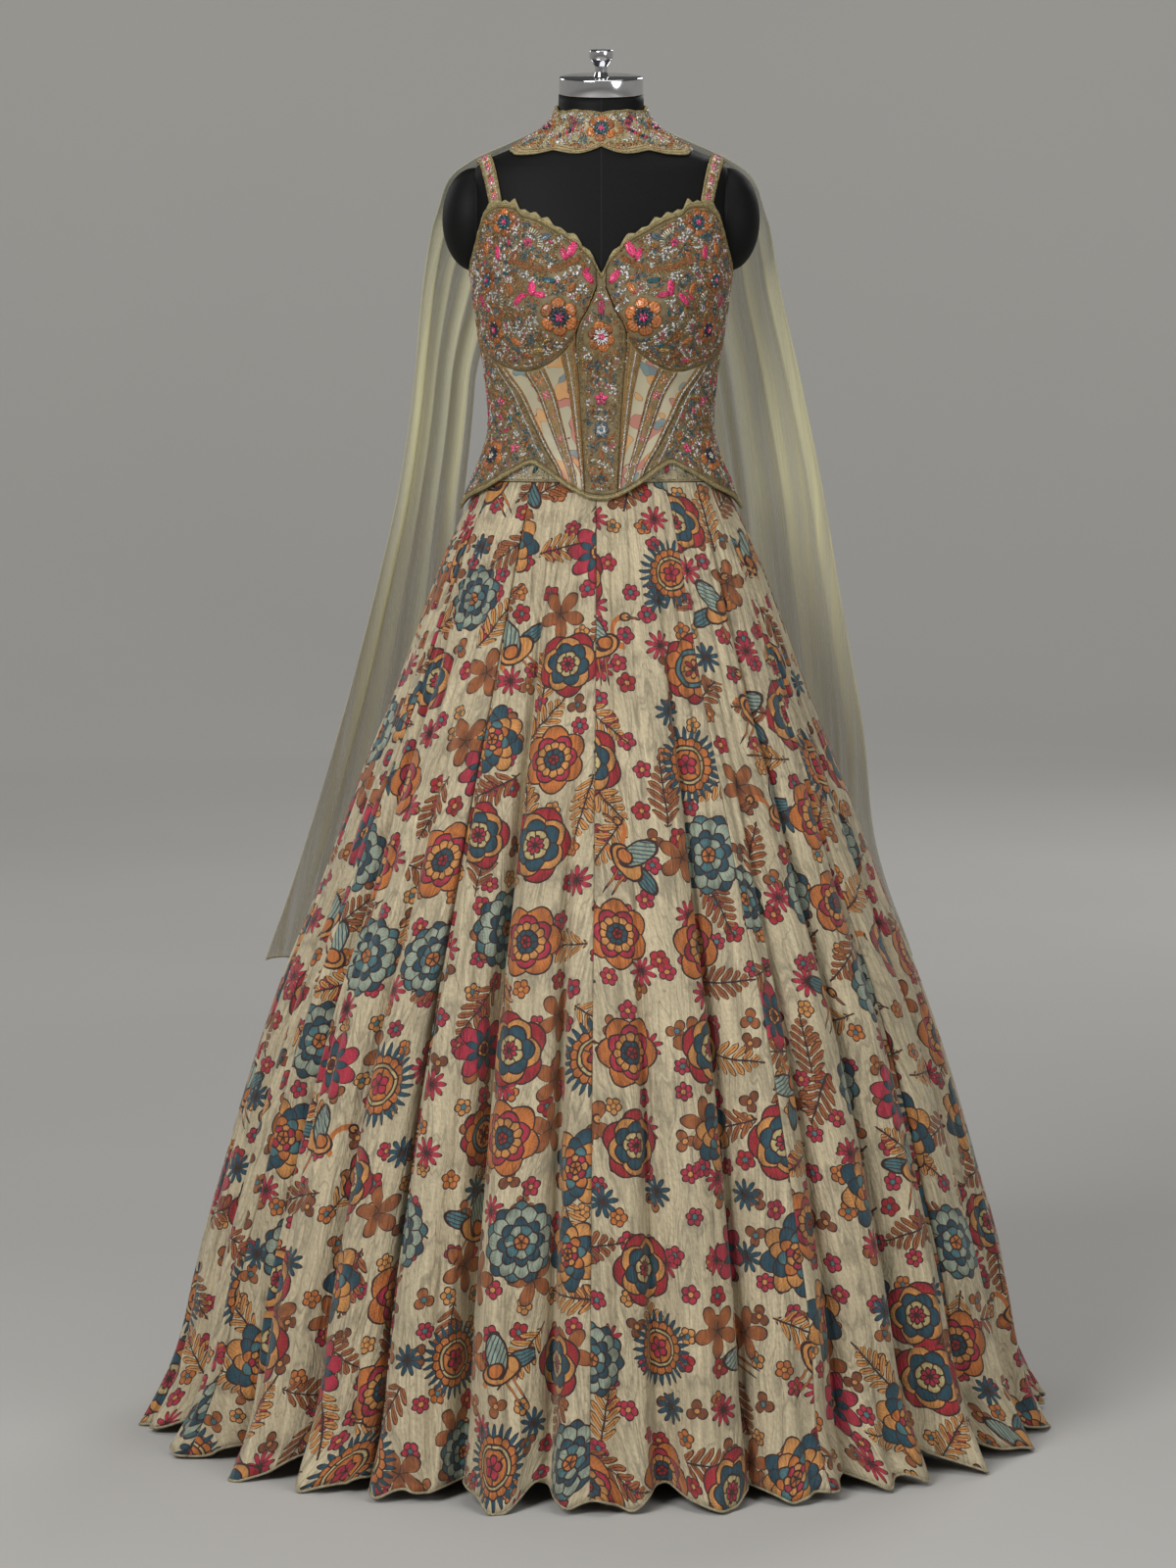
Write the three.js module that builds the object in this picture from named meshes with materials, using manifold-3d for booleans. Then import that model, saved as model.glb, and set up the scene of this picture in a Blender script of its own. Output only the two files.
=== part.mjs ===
// Lehenga choli on a dress form: a floor-length flared skirt of twelve gores with a waistband,
// a boned and cupped sleeveless bodice with shoulder straps, a beaded collar with two net trails
// that fall behind the shoulders, and the smooth form and stand that carry them.
// Millimetres, +Z up, the wearer's front towards -Y, and the stand's foot on z = 0.
import * as THREE from "three";
import { mergeVertices } from "three/addons/utils/BufferGeometryUtils.js";
import Module from "manifold-3d";

// Driving sizes
const SEAM_GAP = 0.3; // between two sewn pieces
const CUP_SEAM_SPARE = 0.8; // more room between the centre panel and the cups' curved edges
const SKIRT_WALL = 1.7; // printed silk with its turned layers
const BODICE_WALL = 2.2; // embroidered cloth on a stiff ground
const BODICE_EASE = 2.4; // from the form to the bodice's inside
const BINDING_WIDTH = 5.5; // the bodice's bound edges
const BINDING_EXTRA = 0.8; // how much thicker than the bodice they are
const STRAP_WIDTH = 13;
const STRAP_WALL = 2.2;
const STRAP_EASE = 1.9;
const COLLAR_WALL = 2.2;
const COLLAR_EASE = 1.3;
const NET_WALL = 1;
const NET_TOP = 1540; // where the net is sewn on the collar
const NET_SEWN_GAP = 0.55;
const GORES = 12;
const WAISTBAND_TOP = 1157;
const WAISTBAND_FOOT = 1128.2;
const WAISTBAND_WALL = 2;
const SKIRT_TOP = 1127.6;
const FORM_FOOT = 905;
const POLE_RADIUS = 16;
const BASE_RADIUS = 170;
const BASE_HEIGHT = 12;
const NECK_TOP = 1583;
const NECK_TILT = 9; // degrees that the neck's cut leans forward
const CAP_RADIUS = 49.8;
const CAP_HEIGHT = 21;
const KNOB_HEIGHT = 31;

// Where each gore's seams lie, and the hem's depth of curl
const FIRST_SEAM = -1.5; // degrees from the centre front
const HEM_KICK = 12; // how far the hem's lobes turn out
const HEM_KICK_HEIGHT = 90;
const HEM_LIFT = 14; // how far the hem rises inside a fold

const deg = THREE.MathUtils.degToRad;

// The form's level sections: half width, reach to the front and back, and squareness of the oval
const FORM = [
  { z: 905, half: 158, front: 106, back: 124, square: 2.2 },
  { z: 1030, half: 161, front: 103, back: 122, square: 2.2 },
  { z: 1096, half: 150, front: 97, back: 108, square: 2.25 },
  { z: 1127, half: 143.3, front: 94, back: 100, square: 2.3 },
  { z: 1160, half: 134.5, front: 90, back: 92, square: 2.3 },
  { z: 1200, half: 129.3, front: 88, back: 88, square: 2.3 },
  { z: 1240, half: 132, front: 90, back: 92, square: 2.3 },
  { z: 1275, half: 136, front: 93, back: 97, square: 2.3 },
  { z: 1310, half: 141, front: 96, back: 101, square: 2.3 },
  { z: 1345, half: 146, front: 98, back: 104, square: 2.3 },
  { z: 1374, half: 149.5, front: 98, back: 105, square: 2.35 },
  { z: 1391, half: 151, front: 97, back: 105, square: 2.35 },
  { z: 1425, half: 152, front: 92, back: 103, square: 2.35 },
  { z: 1465, half: 153, front: 80, back: 96, square: 2.3 },
  { z: 1485, half: 152.5, front: 73, back: 90, square: 2.25 },
  { z: 1496, half: 149, front: 69, back: 86, square: 2.2 },
  { z: 1503, half: 142, front: 66, back: 82, square: 2.15 },
  { z: 1509, half: 132, front: 64, back: 78, square: 2.1 },
  { z: 1515, half: 117, front: 62, back: 74, square: 2.05 },
  { z: 1521, half: 102, front: 60, back: 70, square: 2 },
  { z: 1530, half: 84, front: 57, back: 65, square: 2 },
  { z: 1541, half: 69, front: 54, back: 60, square: 2 },
  { z: 1553, half: 57, front: 50.5, back: 55, square: 2 },
  { z: 1566, half: 50.8, front: 48.5, back: 51.5, square: 2 },
  { z: 1583, half: 50.2, front: 48, back: 51, square: 2 },
];
const BUST_LEVELS = [1298, 1322, 1334, 1358]; // more sections where the bust is most curved

// The rounded cap that closes each armhole of the form
const ARM_CAP = { x: 150, y: 11, z: 1437, wide: 38.5, deep: 46, high: 61 };

// The bust of the form, one round rise on each side
const BUST = { x: 65, z: 1324, rise: 28, wide: 46, high: 45 };

// How far the bodice stands off the form: at its hem, which flares over the skirt, and its cups
const FLARE = [
  { z: 1090, off: 13.2 },
  { z: 1096, off: 12.6 },
  { z: 1120, off: 8 },
  { z: 1142, off: 4.8 },
  { z: 1161, off: 2.2 },
  { z: 1185, off: 0 },
  { z: 1255, off: 0 },
  { z: 1300, off: 1.6 },
  { z: 1345, off: 1.6 },
  { z: 1400, off: 0.3 },
  { z: 1460, off: 0 },
];

// The skirt's outer sections, over the tops of its folds
const SKIRT = [
  { z: 0, half: 532, front: 497, back: 508, square: 2 },
  { z: 48, half: 518, front: 487, back: 499, square: 2 },
  { z: 109, half: 504, front: 477, back: 488, square: 2 },
  { z: 169, half: 495, front: 468, back: 479, square: 2 },
  { z: 229, half: 481, front: 457, back: 467, square: 2 },
  { z: 289, half: 463, front: 442, back: 451, square: 2 },
  { z: 409, half: 428, front: 408, back: 417, square: 2 },
  { z: 528, half: 387.5, front: 370, back: 379, square: 2 },
  { z: 647, half: 338.5, front: 323, back: 331, square: 2 },
  { z: 765, half: 294, front: 275, back: 284, square: 2 },
  { z: 883, half: 246, front: 225, back: 234, square: 2 },
  { z: 1000, half: 202.5, front: 171, back: 180, square: 2.05 },
  { z: 1050, half: 183, front: 145, back: 155, square: 2.1 },
  { z: 1096, half: 160.5, front: 112, back: 123, square: 2.2 },
  { z: 1112, half: 152.5, front: 103, back: 112, square: 2.25 },
  { z: 1128, half: 146.4, front: 97.3, back: 103.4, square: 2.3 },
];

// The skirt's folds: how far round each groove lies, its depth and width at the hem, and the
// height where it starts
const FOLDS = [
  { at: -88, depth: 30, wide: 3.6, start: 1000 },
  { at: -72, depth: 26, wide: 3.4, start: 900 },
  { at: -57, depth: 38, wide: 3.4, start: 1070 },
  { at: -42, depth: 26, wide: 3.2, start: 860 },
  { at: -31, depth: 24, wide: 3.0, start: 900 },
  { at: -20, depth: 46, wide: 3.4, start: 1110 },
  { at: -7, depth: 30, wide: 3.2, start: 860 },
  { at: 7, depth: 26, wide: 3.2, start: 780 },
  { at: 20, depth: 34, wide: 3.4, start: 1040 },
  { at: 34, depth: 30, wide: 3.2, start: 900 },
  { at: 46, depth: 36, wide: 3.0, start: 1080 },
  { at: 57.5, depth: 28, wide: 3.0, start: 860 },
  { at: 72, depth: 36, wide: 3.6, start: 1020 },
  { at: 88, depth: 30, wide: 3.4, start: 940 },
  { at: 102, depth: 34, wide: 3.4, start: 1060 },
  { at: 117, depth: 26, wide: 3.2, start: 840 },
  { at: 131, depth: 38, wide: 3.4, start: 1040 },
  { at: 145, depth: 30, wide: 3.4, start: 880 },
  { at: 160, depth: 34, wide: 3.2, start: 1080 },
  { at: 174, depth: 28, wide: 3.4, start: 860 },
  { at: 188, depth: 38, wide: 3.4, start: 1060 },
  { at: 203, depth: 30, wide: 3.2, start: 900 },
  { at: 216, depth: 26, wide: 3.0, start: 800 },
  { at: 229, depth: 36, wide: 3.4, start: 1070 },
  { at: 243, depth: 32, wide: 3.4, start: 880 },
  { at: 258, depth: 28, wide: 3.2, start: 940 },
];

// The bodice's edges on its right half, by distance from the centre and height
const NECKLINE = [
  { x: 0, z: 1364 },
  { x: 10, z: 1383 },
  { x: 19, z: 1393 },
  { x: 28, z: 1403 },
  { x: 52, z: 1418 },
  { x: 79, z: 1433 },
  { x: 92, z: 1437 },
  { x: 101, z: 1446 },
  { x: 118, z: 1448 },
  { x: 132, z: 1440 },
  { x: 141, z: 1410 },
  { x: 147, z: 1386 },
];
const UNDERARM = { phi: 90, z: 1369 };
const BACK_TOP = [
  { phi: 112, z: 1362 },
  { phi: 146, z: 1356 },
  { phi: 180, z: 1352 },
];
const HEM = [
  { x: 0, z: 1112 },
  { x: 12, z: 1113.5 },
  { x: 24, z: 1118.5 },
  { x: 45, z: 1131.5 },
  { x: 63, z: 1145 },
  { x: 79, z: 1154 },
  { x: 97, z: 1144.5 },
  { x: 125, z: 1125 },
];
const HEM_SIDE = [
  { phi: 78, z: 1110 },
  { phi: 90, z: 1097 },
  { phi: 104, z: 1108 },
  { phi: 128, z: 1126 },
  { phi: 152, z: 1126 },
  { phi: 180, z: 1114 },
];
const CUP_LINE = [
  { x: 31, z: 1303 },
  { x: 38, z: 1290 },
  { x: 50, z: 1275.5 },
  { x: 65, z: 1265 },
  { x: 80, z: 1259.5 },
  { x: 92, z: 1258 },
  { x: 105, z: 1261.5 },
  { x: 120, z: 1269 },
];
const CUP_SIDE = { phi: 88, z: 1300 };
const CENTRE_EDGE = [
  { z: 1100, x: 18 },
  { z: 1120, x: 18.7 },
  { z: 1180, x: 22 },
  { z: 1250, x: 26.5 },
  { z: 1303, x: 31 },
  { z: 1332, x: 17 },
  { z: 1362, x: 2.5 },
];
const PRINCESS_EDGE = [
  { z: 1090, x: 33 },
  { z: 1141, x: 50 },
  { z: 1173, x: 68 },
  { z: 1202, x: 82 },
  { z: 1230.5, x: 95 },
  { z: 1255.5, x: 112 },
  { z: 1269, x: 120 },
  { z: 1300, x: 139 },
];
const SIDE_SEAM = 88; // degrees round from the centre front
const CUP_START = 1.3;
const CUP_COLUMNS = 14;
const FRONT_COLUMNS = 5;
const SIDE_COLUMNS = 6;
const BACK_COLUMNS = 8;

// The collar's lower edge, a row of shallow scallops
const COLLAR_FOOT = [
  { phi: 0, z: 1519 },
  { phi: 12, z: 1512.5 },
  { phi: 26, z: 1514.5 },
  { phi: 36, z: 1511.5 },
  { phi: 48, z: 1511 },
  { phi: 84, z: 1525 },
  { phi: 130, z: 1527 },
  { phi: 180, z: 1522 },
];
const COLLAR_TOP = [
  { phi: 0, z: 1562 },
  { phi: 30, z: 1566 },
  { phi: 62, z: 1563 },
  { phi: 90, z: 1569 },
  { phi: 180, z: 1560 },
];
const COLLAR_OPENING = 2.5; // degrees left open on each side of the centre back

// The net: level sections that clear the form, and the arc that each trail covers. Both trails
// share the sections over the shoulders.
const NET_SHOULDER = [
  { z: 1437, half: 198, back: 111, from: 105, to: 163 },
  { z: 1470, half: 190, back: 106, from: 99, to: 168 },
  { z: 1486, half: 180, back: 99, from: 93, to: 170 },
  { z: 1497, half: 168, back: 94, from: 88, to: 171 },
  { z: 1503, half: 158, back: 91, from: 87, to: 172 },
  { z: 1509, half: 149, back: 88, from: 86, to: 172 },
  { z: 1517, half: 131, back: 84, from: 85, to: 173 },
  { z: 1526, half: 110, back: 78, from: 84, to: 173 },
  { z: 1540, half: 84, back: 70, from: 84, to: 174 },
];
const NET_LEFT = [
  { z: 530, half: 414, back: 392, from: 105, to: 158 },
  { z: 680, half: 362, back: 331, from: 105, to: 154 },
  { z: 830, half: 315, back: 270, from: 105, to: 150 },
  { z: 980, half: 272, back: 203, from: 104, to: 144 },
  { z: 1120, half: 239, back: 134, from: 104, to: 139 },
  { z: 1240, half: 221, back: 120, from: 104, to: 139 },
  { z: 1360, half: 211, back: 118, from: 105, to: 150 },
  ...NET_SHOULDER,
];
const NET_RIGHT = [
  { z: 530, half: 404, back: 392, from: 112, to: 168 },
  { z: 680, half: 350, back: 331, from: 111, to: 166 },
  { z: 830, half: 320, back: 270, from: 106, to: 164 },
  { z: 980, half: 289, back: 203, from: 104, to: 162 },
  { z: 1120, half: 264, back: 134, from: 104, to: 160 },
  { z: 1240, half: 238, back: 120, from: 104, to: 160 },
  { z: 1360, half: 212, back: 118, from: 105, to: 162 },
  ...NET_SHOULDER,
];
const NET_ON_FORM = 1475; // above this the net lies smooth over the form
const NET_FREE = 1425; // below this it hangs in full folds
const NET_FOLDS = 4; // folds across each trail
const NET_FOLD_DEPTH = 9;

// Reads a column of a table at any value of its key, as a smooth curve with no overshoot.
function readTable(rows, key, at, column) {
  const last = rows.length - 1;
  if (at <= rows[0][key]) return rows[0][column];
  if (at >= rows[last][key]) return rows[last][column];
  let i = 0;
  while (at > rows[i + 1][key]) i += 1;
  const slope = (k) => (rows[k + 1][column] - rows[k][column]) / (rows[k + 1][key] - rows[k][key]);
  const tangent = (k) => {
    if (k === 0 || k === last) return slope(Math.min(k, last - 1));
    const before = slope(k - 1);
    const after = slope(k);
    return before * after <= 0 ? 0 : (2 * before * after) / (before + after);
  };
  const width = rows[i + 1][key] - rows[i][key];
  const t = (at - rows[i][key]) / width;
  const s = 1 - t;
  return (
    rows[i][column] * (1 + 2 * t) * s * s +
    rows[i + 1][column] * t * t * (3 - 2 * t) +
    tangent(i) * width * t * s * s -
    tangent(i + 1) * width * t * t * s
  );
}

const smooth = (low, high, value) => THREE.MathUtils.smoothstep(value, low, high);

// A point of a level oval, phi degrees round from the centre front towards +X.
function ovalPoint(table, phi, z) {
  const half = readTable(table, "z", z, "half");
  const power = 2 / readTable(table, "z", z, "square");
  const s = Math.sin(deg(phi));
  const c = Math.cos(deg(phi));
  const reach = readTable(table, "z", z, c > 0 ? "front" : "back");
  return new THREE.Vector3(
    Math.sign(s) * half * Math.abs(s) ** power,
    -Math.sign(c) * reach * Math.abs(c) ** power,
    z,
  );
}

// The form's surface, with the bust in front and the neck's cut leaning forward.
function formPoint(phi, z) {
  const p = ovalPoint(FORM, phi, z);
  const front = smooth(0, 1, Math.cos(deg(phi)) * 1.6);
  const bump = (side) =>
    Math.exp(-(((p.x - side * BUST.x) / BUST.wide) ** 2) - ((z - BUST.z) / BUST.high) ** 2);
  p.y -= BUST.rise * front * (bump(1) + bump(-1));
  p.z += p.y * Math.tan(deg(NECK_TILT)) * smooth(1545, NECK_TOP, z);
  return p;
}

// The outward normal of a surface that is given by phi and z.
function surfaceNormal(surface, phi, z) {
  const across = surface(phi + 0.4, z).sub(surface(phi - 0.4, z));
  const up = surface(phi, z + 0.8).sub(surface(phi, z - 0.8));
  return across.cross(up).normalize();
}

// A point at a distance outside the form's surface.
function offForm(phi, z, distance) {
  return formPoint(phi, z).addScaledVector(surfaceNormal(formPoint, phi, z), distance);
}

const bodiceInside = (z) => BODICE_EASE + readTable(FLARE, "z", z, "off");

// The phi at which the form is x millimetres from its centre plane, in front.
function phiAtX(x, z) {
  const half = readTable(FORM, "z", z, "half");
  const square = readTable(FORM, "z", z, "square");
  return THREE.MathUtils.radToDeg(Math.asin(Math.min(1, Math.abs(x) / half) ** (square / 2)));
}

const byPhi = (rows) => rows.map(({ x, z }) => ({ phi: phiAtX(x, z), z }));
const TOP_EDGE = [...byPhi(NECKLINE), UNDERARM, ...BACK_TOP];
const HEM_EDGE = [...byPhi(HEM), ...HEM_SIDE];
const CUP_EDGE = [...byPhi(CUP_LINE), CUP_SIDE];

// Heights of the bodice's edges at an unsigned phi.
const topAt = (phi) => readTable(TOP_EDGE, "phi", phi, "z");
const hemAt = (phi) => readTable(HEM_EDGE, "phi", phi, "z");
const cupAt = (phi) => readTable(CUP_EDGE, "phi", phi, "z");
const centreAt = (z) => phiAtX(readTable(CENTRE_EDGE, "z", z, "x"), z);
const princessAt = (z) => phiAtX(readTable(PRINCESS_EDGE, "z", z, "x"), z);

// A closed wall between two grids of points. place(u, v, inner) gives them, with u and v from
// 0 to 1. A ring joins its last column to its first.
function wallGeometry(columns, rows, place, ring = false) {
  const positions = [];
  const indices = [];
  const wide = ring ? columns : columns + 1;
  const count = wide * (rows + 1);
  for (const inner of [0, 1]) {
    for (let j = 0; j <= rows; j += 1) {
      for (let i = 0; i < wide; i += 1) {
        const p = place(i / columns, j / rows, inner);
        positions.push(p.x, p.y, p.z);
      }
    }
  }
  const at = (i, j, inner) => inner * count + j * wide + (i % wide);
  const quad = (a, b, c, d) => indices.push(a, b, c, a, c, d);
  for (let j = 0; j < rows; j += 1) {
    for (let i = 0; i < columns; i += 1) {
      quad(at(i, j, 0), at(i + 1, j, 0), at(i + 1, j + 1, 0), at(i, j + 1, 0));
      quad(at(i, j, 1), at(i, j + 1, 1), at(i + 1, j + 1, 1), at(i + 1, j, 1));
    }
  }
  for (let i = 0; i < columns; i += 1) {
    quad(at(i, 0, 1), at(i + 1, 0, 1), at(i + 1, 0, 0), at(i, 0, 0));
    quad(at(i, rows, 0), at(i + 1, rows, 0), at(i + 1, rows, 1), at(i, rows, 1));
  }
  for (let j = 0; j < rows && !ring; j += 1) {
    quad(at(0, j, 0), at(0, j + 1, 0), at(0, j + 1, 1), at(0, j, 1));
    quad(at(columns, j, 1), at(columns, j + 1, 1), at(columns, j + 1, 0), at(columns, j, 0));
  }
  return facingOut(positions, indices);
}

// A closed body through level rings, with flat ends.
function loftGeometry(columns, levels, ringPoint) {
  const positions = [];
  const indices = [];
  for (const level of levels) {
    for (let i = 0; i < columns; i += 1) {
      const p = ringPoint((360 * i) / columns, level);
      positions.push(p.x, p.y, p.z);
    }
  }
  for (let j = 0; j < levels.length - 1; j += 1) {
    for (let i = 0; i < columns; i += 1) {
      const a = j * columns + i;
      const b = j * columns + ((i + 1) % columns);
      indices.push(a, b, b + columns, a, b + columns, a + columns);
    }
  }
  const top = (levels.length - 1) * columns;
  for (let i = 1; i < columns - 1; i += 1) {
    indices.push(0, i + 1, i, top, top + i, top + i + 1);
  }
  return facingOut(positions, indices);
}

// Turns the faces over if the body is inside out.
function facingOut(positions, indices) {
  const corner = (k) => new THREE.Vector3().fromArray(positions, 3 * indices[k]);
  let volume = 0;
  for (let k = 0; k < indices.length; k += 3) {
    volume += corner(k).dot(corner(k + 1).cross(corner(k + 2)));
  }
  const order = [...indices];
  if (volume < 0) order.reverse();
  const geometry = new THREE.BufferGeometry();
  geometry.setAttribute("position", new THREE.Float32BufferAttribute(positions, 3));
  geometry.setIndex(order);
  return mergeVertices(geometry, 1e-4);
}

const finish = (color, roughness, metalness = 0) =>
  new THREE.MeshStandardMaterial({ color, roughness, metalness });
const printedSilk = finish(0xc8bd9d, 0.62);
const embroidery = finish(0xa8855a, 0.55);
const goldCord = finish(0xa8985f, 0.6);
const net = finish(0xa79f6f, 0.7);
const formCloth = finish(0x161417, 0.8);
const chrome = finish(0xd8d8dc, 0.12, 1);
const standMetal = finish(0x2b2b2e, 0.45, 0.6);

const garment = new THREE.Group();
const add = (name, geometry, material) => {
  const mesh = new THREE.Mesh(geometry, material);
  mesh.name = name;
  garment.add(mesh);
  return mesh;
};

// The share of a fold's full depth at one height: none above its start, all of it at the hem.
const foldGrowth = (fold, z) => Math.max(0, (fold.start - z) / fold.start) ** 1.15;

// How far the folds draw the skirt in at one place, and how much of a groove it is.
function foldsAt(phi, z) {
  let depth = 0;
  let groove = 0;
  for (const fold of FOLDS) {
    const away = ((((phi - fold.at) % 360) + 540) % 360) - 180;
    const share = Math.exp(-((away / fold.wide) ** 2));
    depth += fold.depth * foldGrowth(fold, z) * share;
    groove = Math.max(groove, share);
  }
  return { depth, groove };
}

// The skirt's outer surface: the section, drawn in by its folds and turned out at the hem.
function skirtPoint(phi, z) {
  const p = ovalPoint(SKIRT, phi, z);
  const { depth, groove } = foldsAt(phi, z);
  const curl = Math.max(0, 1 - z / HEM_KICK_HEIGHT) ** 2;
  const out = HEM_KICK * curl * (1 - groove) - depth;
  const level = new THREE.Vector3(p.x, p.y, 0).normalize();
  return p.addScaledVector(level, out);
}

// The skirt's edge lifts a little inside each fold and rests on the floor between them.
const hemHeight = (phi) => HEM_LIFT * smooth(0.2, 1, foldsAt(phi, 0).groove);

// The gores' columns: in each groove, on both its banks and on the crest after it.
const foldColumns = FOLDS.flatMap((fold, i) => {
  const next = FOLDS[i + 1] ?? { at: FOLDS[0].at + 360 };
  return [fold.at - 0.9 * fold.wide, fold.at, fold.at + 0.9 * fold.wide, (fold.at + next.at) / 2];
});
const COLUMN_SPACE = 1.2; // degrees kept between a seam and the nearest column

// One gore of the skirt, from seam to seam and from the hem to the waistband.
function gore(index) {
  const levels = [0, 30, 80, 165, 290, 430, 580, 730, 870, 980, 1048, 1098, SKIRT_TOP];
  const start = FIRST_SEAM + (index * 360) / GORES;
  const end = start + 360 / GORES;
  const inside = [-360, 0, 360]
    .flatMap((turn) => foldColumns.map((phi) => phi + turn))
    .filter((phi) => phi > start + COLUMN_SPACE && phi < end - COLUMN_SPACE)
    .sort((a, b) => a - b);
  const columns = [start, ...inside, end];
  const place = (u, v, inner) => {
    const column = Math.round(u * (columns.length - 1));
    const z = levels[Math.round(v * (levels.length - 1))];
    const middle = ovalPoint(SKIRT, columns[column], z);
    const gap = THREE.MathUtils.radToDeg(SEAM_GAP / 2 / Math.hypot(middle.x, middle.y));
    const inward = column === 0 ? gap : column === columns.length - 1 ? -gap : 0;
    const phi = columns[column] + inward;
    const lift = hemHeight(phi) * Math.max(0, 1 - z / HEM_KICK_HEIGHT);
    const p = skirtPoint(phi, z);
    const normal = surfaceNormal(skirtPoint, phi, Math.max(2, Math.min(z, SKIRT_TOP - 2)));
    normal.setZ(0).normalize();
    p.z = z + lift;
    return p.addScaledVector(normal, -inner * SKIRT_WALL);
  };
  return wallGeometry(columns.length - 1, levels.length - 1, place);
}

for (let i = 0; i < GORES; i += 1) {
  add(`skirt_gore_${String(i + 1).padStart(2, "0")}`, gore(i), printedSilk);
}

// The beaded waistband that the gores hang from, round the form.
function waistband() {
  const place = (u, v, inner) => {
    const z = THREE.MathUtils.lerp(WAISTBAND_FOOT, WAISTBAND_TOP, v);
    return offForm(360 * u, z, 1 + (1 - inner) * WAISTBAND_WALL);
  };
  return wallGeometry(44, 1, place, true);
}
add("skirt_waistband", waistband(), embroidery);

const seamPhi = THREE.MathUtils.radToDeg(SEAM_GAP / 2 / 110);

// A bodice panel on one side. Its left and right edges are given by height and its foot and
// head by phi, so a point of it is found by turns. Its edges are a seam's half gap in.
function bodicePoint({ left, right, foot, head }, u, v) {
  let phi = (left(1200) + right(1200)) / 2;
  let z = 1200;
  for (let k = 0; k < 14; k += 1) {
    z = THREE.MathUtils.lerp(foot(phi) + SEAM_GAP / 2, head(phi) - SEAM_GAP / 2, v);
    phi = THREE.MathUtils.lerp(left(z) + seamPhi, right(z) - seamPhi, u);
  }
  return { phi, z };
}

function bodicePanel(side, columns, rows, panel) {
  const place = (u, v, inner) => {
    const { phi, z } = bodicePoint(panel, u, v);
    return offForm(side * phi, z, bodiceInside(z) + (1 - inner) * BODICE_WALL);
  };
  return wallGeometry(columns, rows, place);
}

// A cup, whose columns stand on those of the two panels below it.
function cupPanel(side, columns, rows) {
  const place = (u, v, inner) => {
    const column = Math.round(u * (columns.length - 1));
    const inward = column === 0 ? seamPhi : column === columns.length - 1 ? -seamPhi : 0;
    const phi = columns[column] + inward;
    const z = THREE.MathUtils.lerp(cupFoot(phi) + SEAM_GAP / 2, topAt(phi) - SEAM_GAP / 2, v);
    return offForm(side * phi, z, bodiceInside(z) + (1 - inner) * BODICE_WALL);
  };
  return wallGeometry(columns.length - 1, rows, place);
}

// Above the cup line's inner end the cup's edge follows the centre panel.
function cupFoot(phi) {
  if (phi >= CUP_EDGE[0].phi) return cupAt(phi);
  let low = CUP_LINE[0].z;
  let high = NECKLINE[0].z;
  for (let k = 0; k < 24; k += 1) {
    const middle = (low + high) / 2;
    if (centreAt(middle) > phi) low = middle;
    else high = middle;
  }
  return low;
}

const between = (from, to, count) =>
  Array.from({ length: count }, (_, i) => THREE.MathUtils.lerp(from, to, i / count));
const sideSeam = () => SIDE_SEAM;
const centreBack = () => 180;
const frontPanel = { left: centreAt, right: princessAt, foot: hemAt, head: cupAt };
const sidePanel = { left: princessAt, right: sideSeam, foot: hemAt, head: cupAt };
const backPanel = { left: sideSeam, right: centreBack, foot: hemAt, head: topAt };
const phisAt = (panel, count, v) =>
  Array.from({ length: count + 1 }, (_, i) => bodicePoint(panel, i / count, v).phi);
const cupColumns = [
  ...between(CUP_START, CUP_EDGE[0].phi, 3),
  ...phisAt(frontPanel, FRONT_COLUMNS, 1).slice(0, -1),
  ...phisAt(sidePanel, SIDE_COLUMNS, 1).slice(0, -1),
  SIDE_SEAM,
];
// The centre panel runs from the hem's point up between the cups, and its upper rows stand at
// the heights of the cups' own edge points.
function centrePanel() {
  const lowRows = 10;
  const upper = [CUP_LINE[0].z, ...[2, 1, 0].map((k) => cupFoot(cupColumns[k]))];
  const rows = lowRows + upper.length - 1;
  const place = (u, v, inner) => {
    const row = Math.round(v * rows);
    const sideways = 2 * u - 1;
    let z = upper[Math.max(0, row - lowRows)];
    let phi = 0;
    for (let k = 0; k < 14; k += 1) {
      if (row < lowRows) z = THREE.MathUtils.lerp(hemAt(Math.abs(phi)) + SEAM_GAP / 2, upper[0], row / lowRows);
      const spare = CUP_SEAM_SPARE * smooth(1285, 1305, z);
      phi = sideways * (centreAt(z) - seamPhi * (1 + (2 * spare) / SEAM_GAP));
    }
    return offForm(phi, z, bodiceInside(z) + (1 - inner) * BODICE_WALL);
  };
  return wallGeometry(4, rows, place);
}
add("choli_front_centre", centrePanel(), embroidery);

for (const [side, word] of [[-1, "left"], [1, "right"]]) {
  add(`choli_cup_${word}`, cupPanel(side, cupColumns, 10), embroidery);
  add(`choli_front_${word}`, bodicePanel(side, FRONT_COLUMNS, 8, frontPanel), embroidery);
  add(`choli_side_${word}`, bodicePanel(side, SIDE_COLUMNS, 8, sidePanel), embroidery);
  add(`choli_back_${word}`, bodicePanel(side, BACK_COLUMNS, 6, backPanel), embroidery);
}

// A bound edge of the bodice, all round. It stands on the panels' own edge points, and
// direction is 1 for the upper edge and -1 for the hem.
function binding(columns, edgeAt, direction) {
  const place = (u, v, inner) => {
    const phi = columns[Math.round(u * columns.length) % columns.length];
    const z = edgeAt(Math.abs(phi)) + direction * (SEAM_GAP + v * BINDING_WIDTH);
    return offForm(phi, z, bodiceInside(z) + (1 - inner) * (BODICE_WALL + BINDING_EXTRA));
  };
  return wallGeometry(columns.length, 1, place, true);
}

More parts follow.
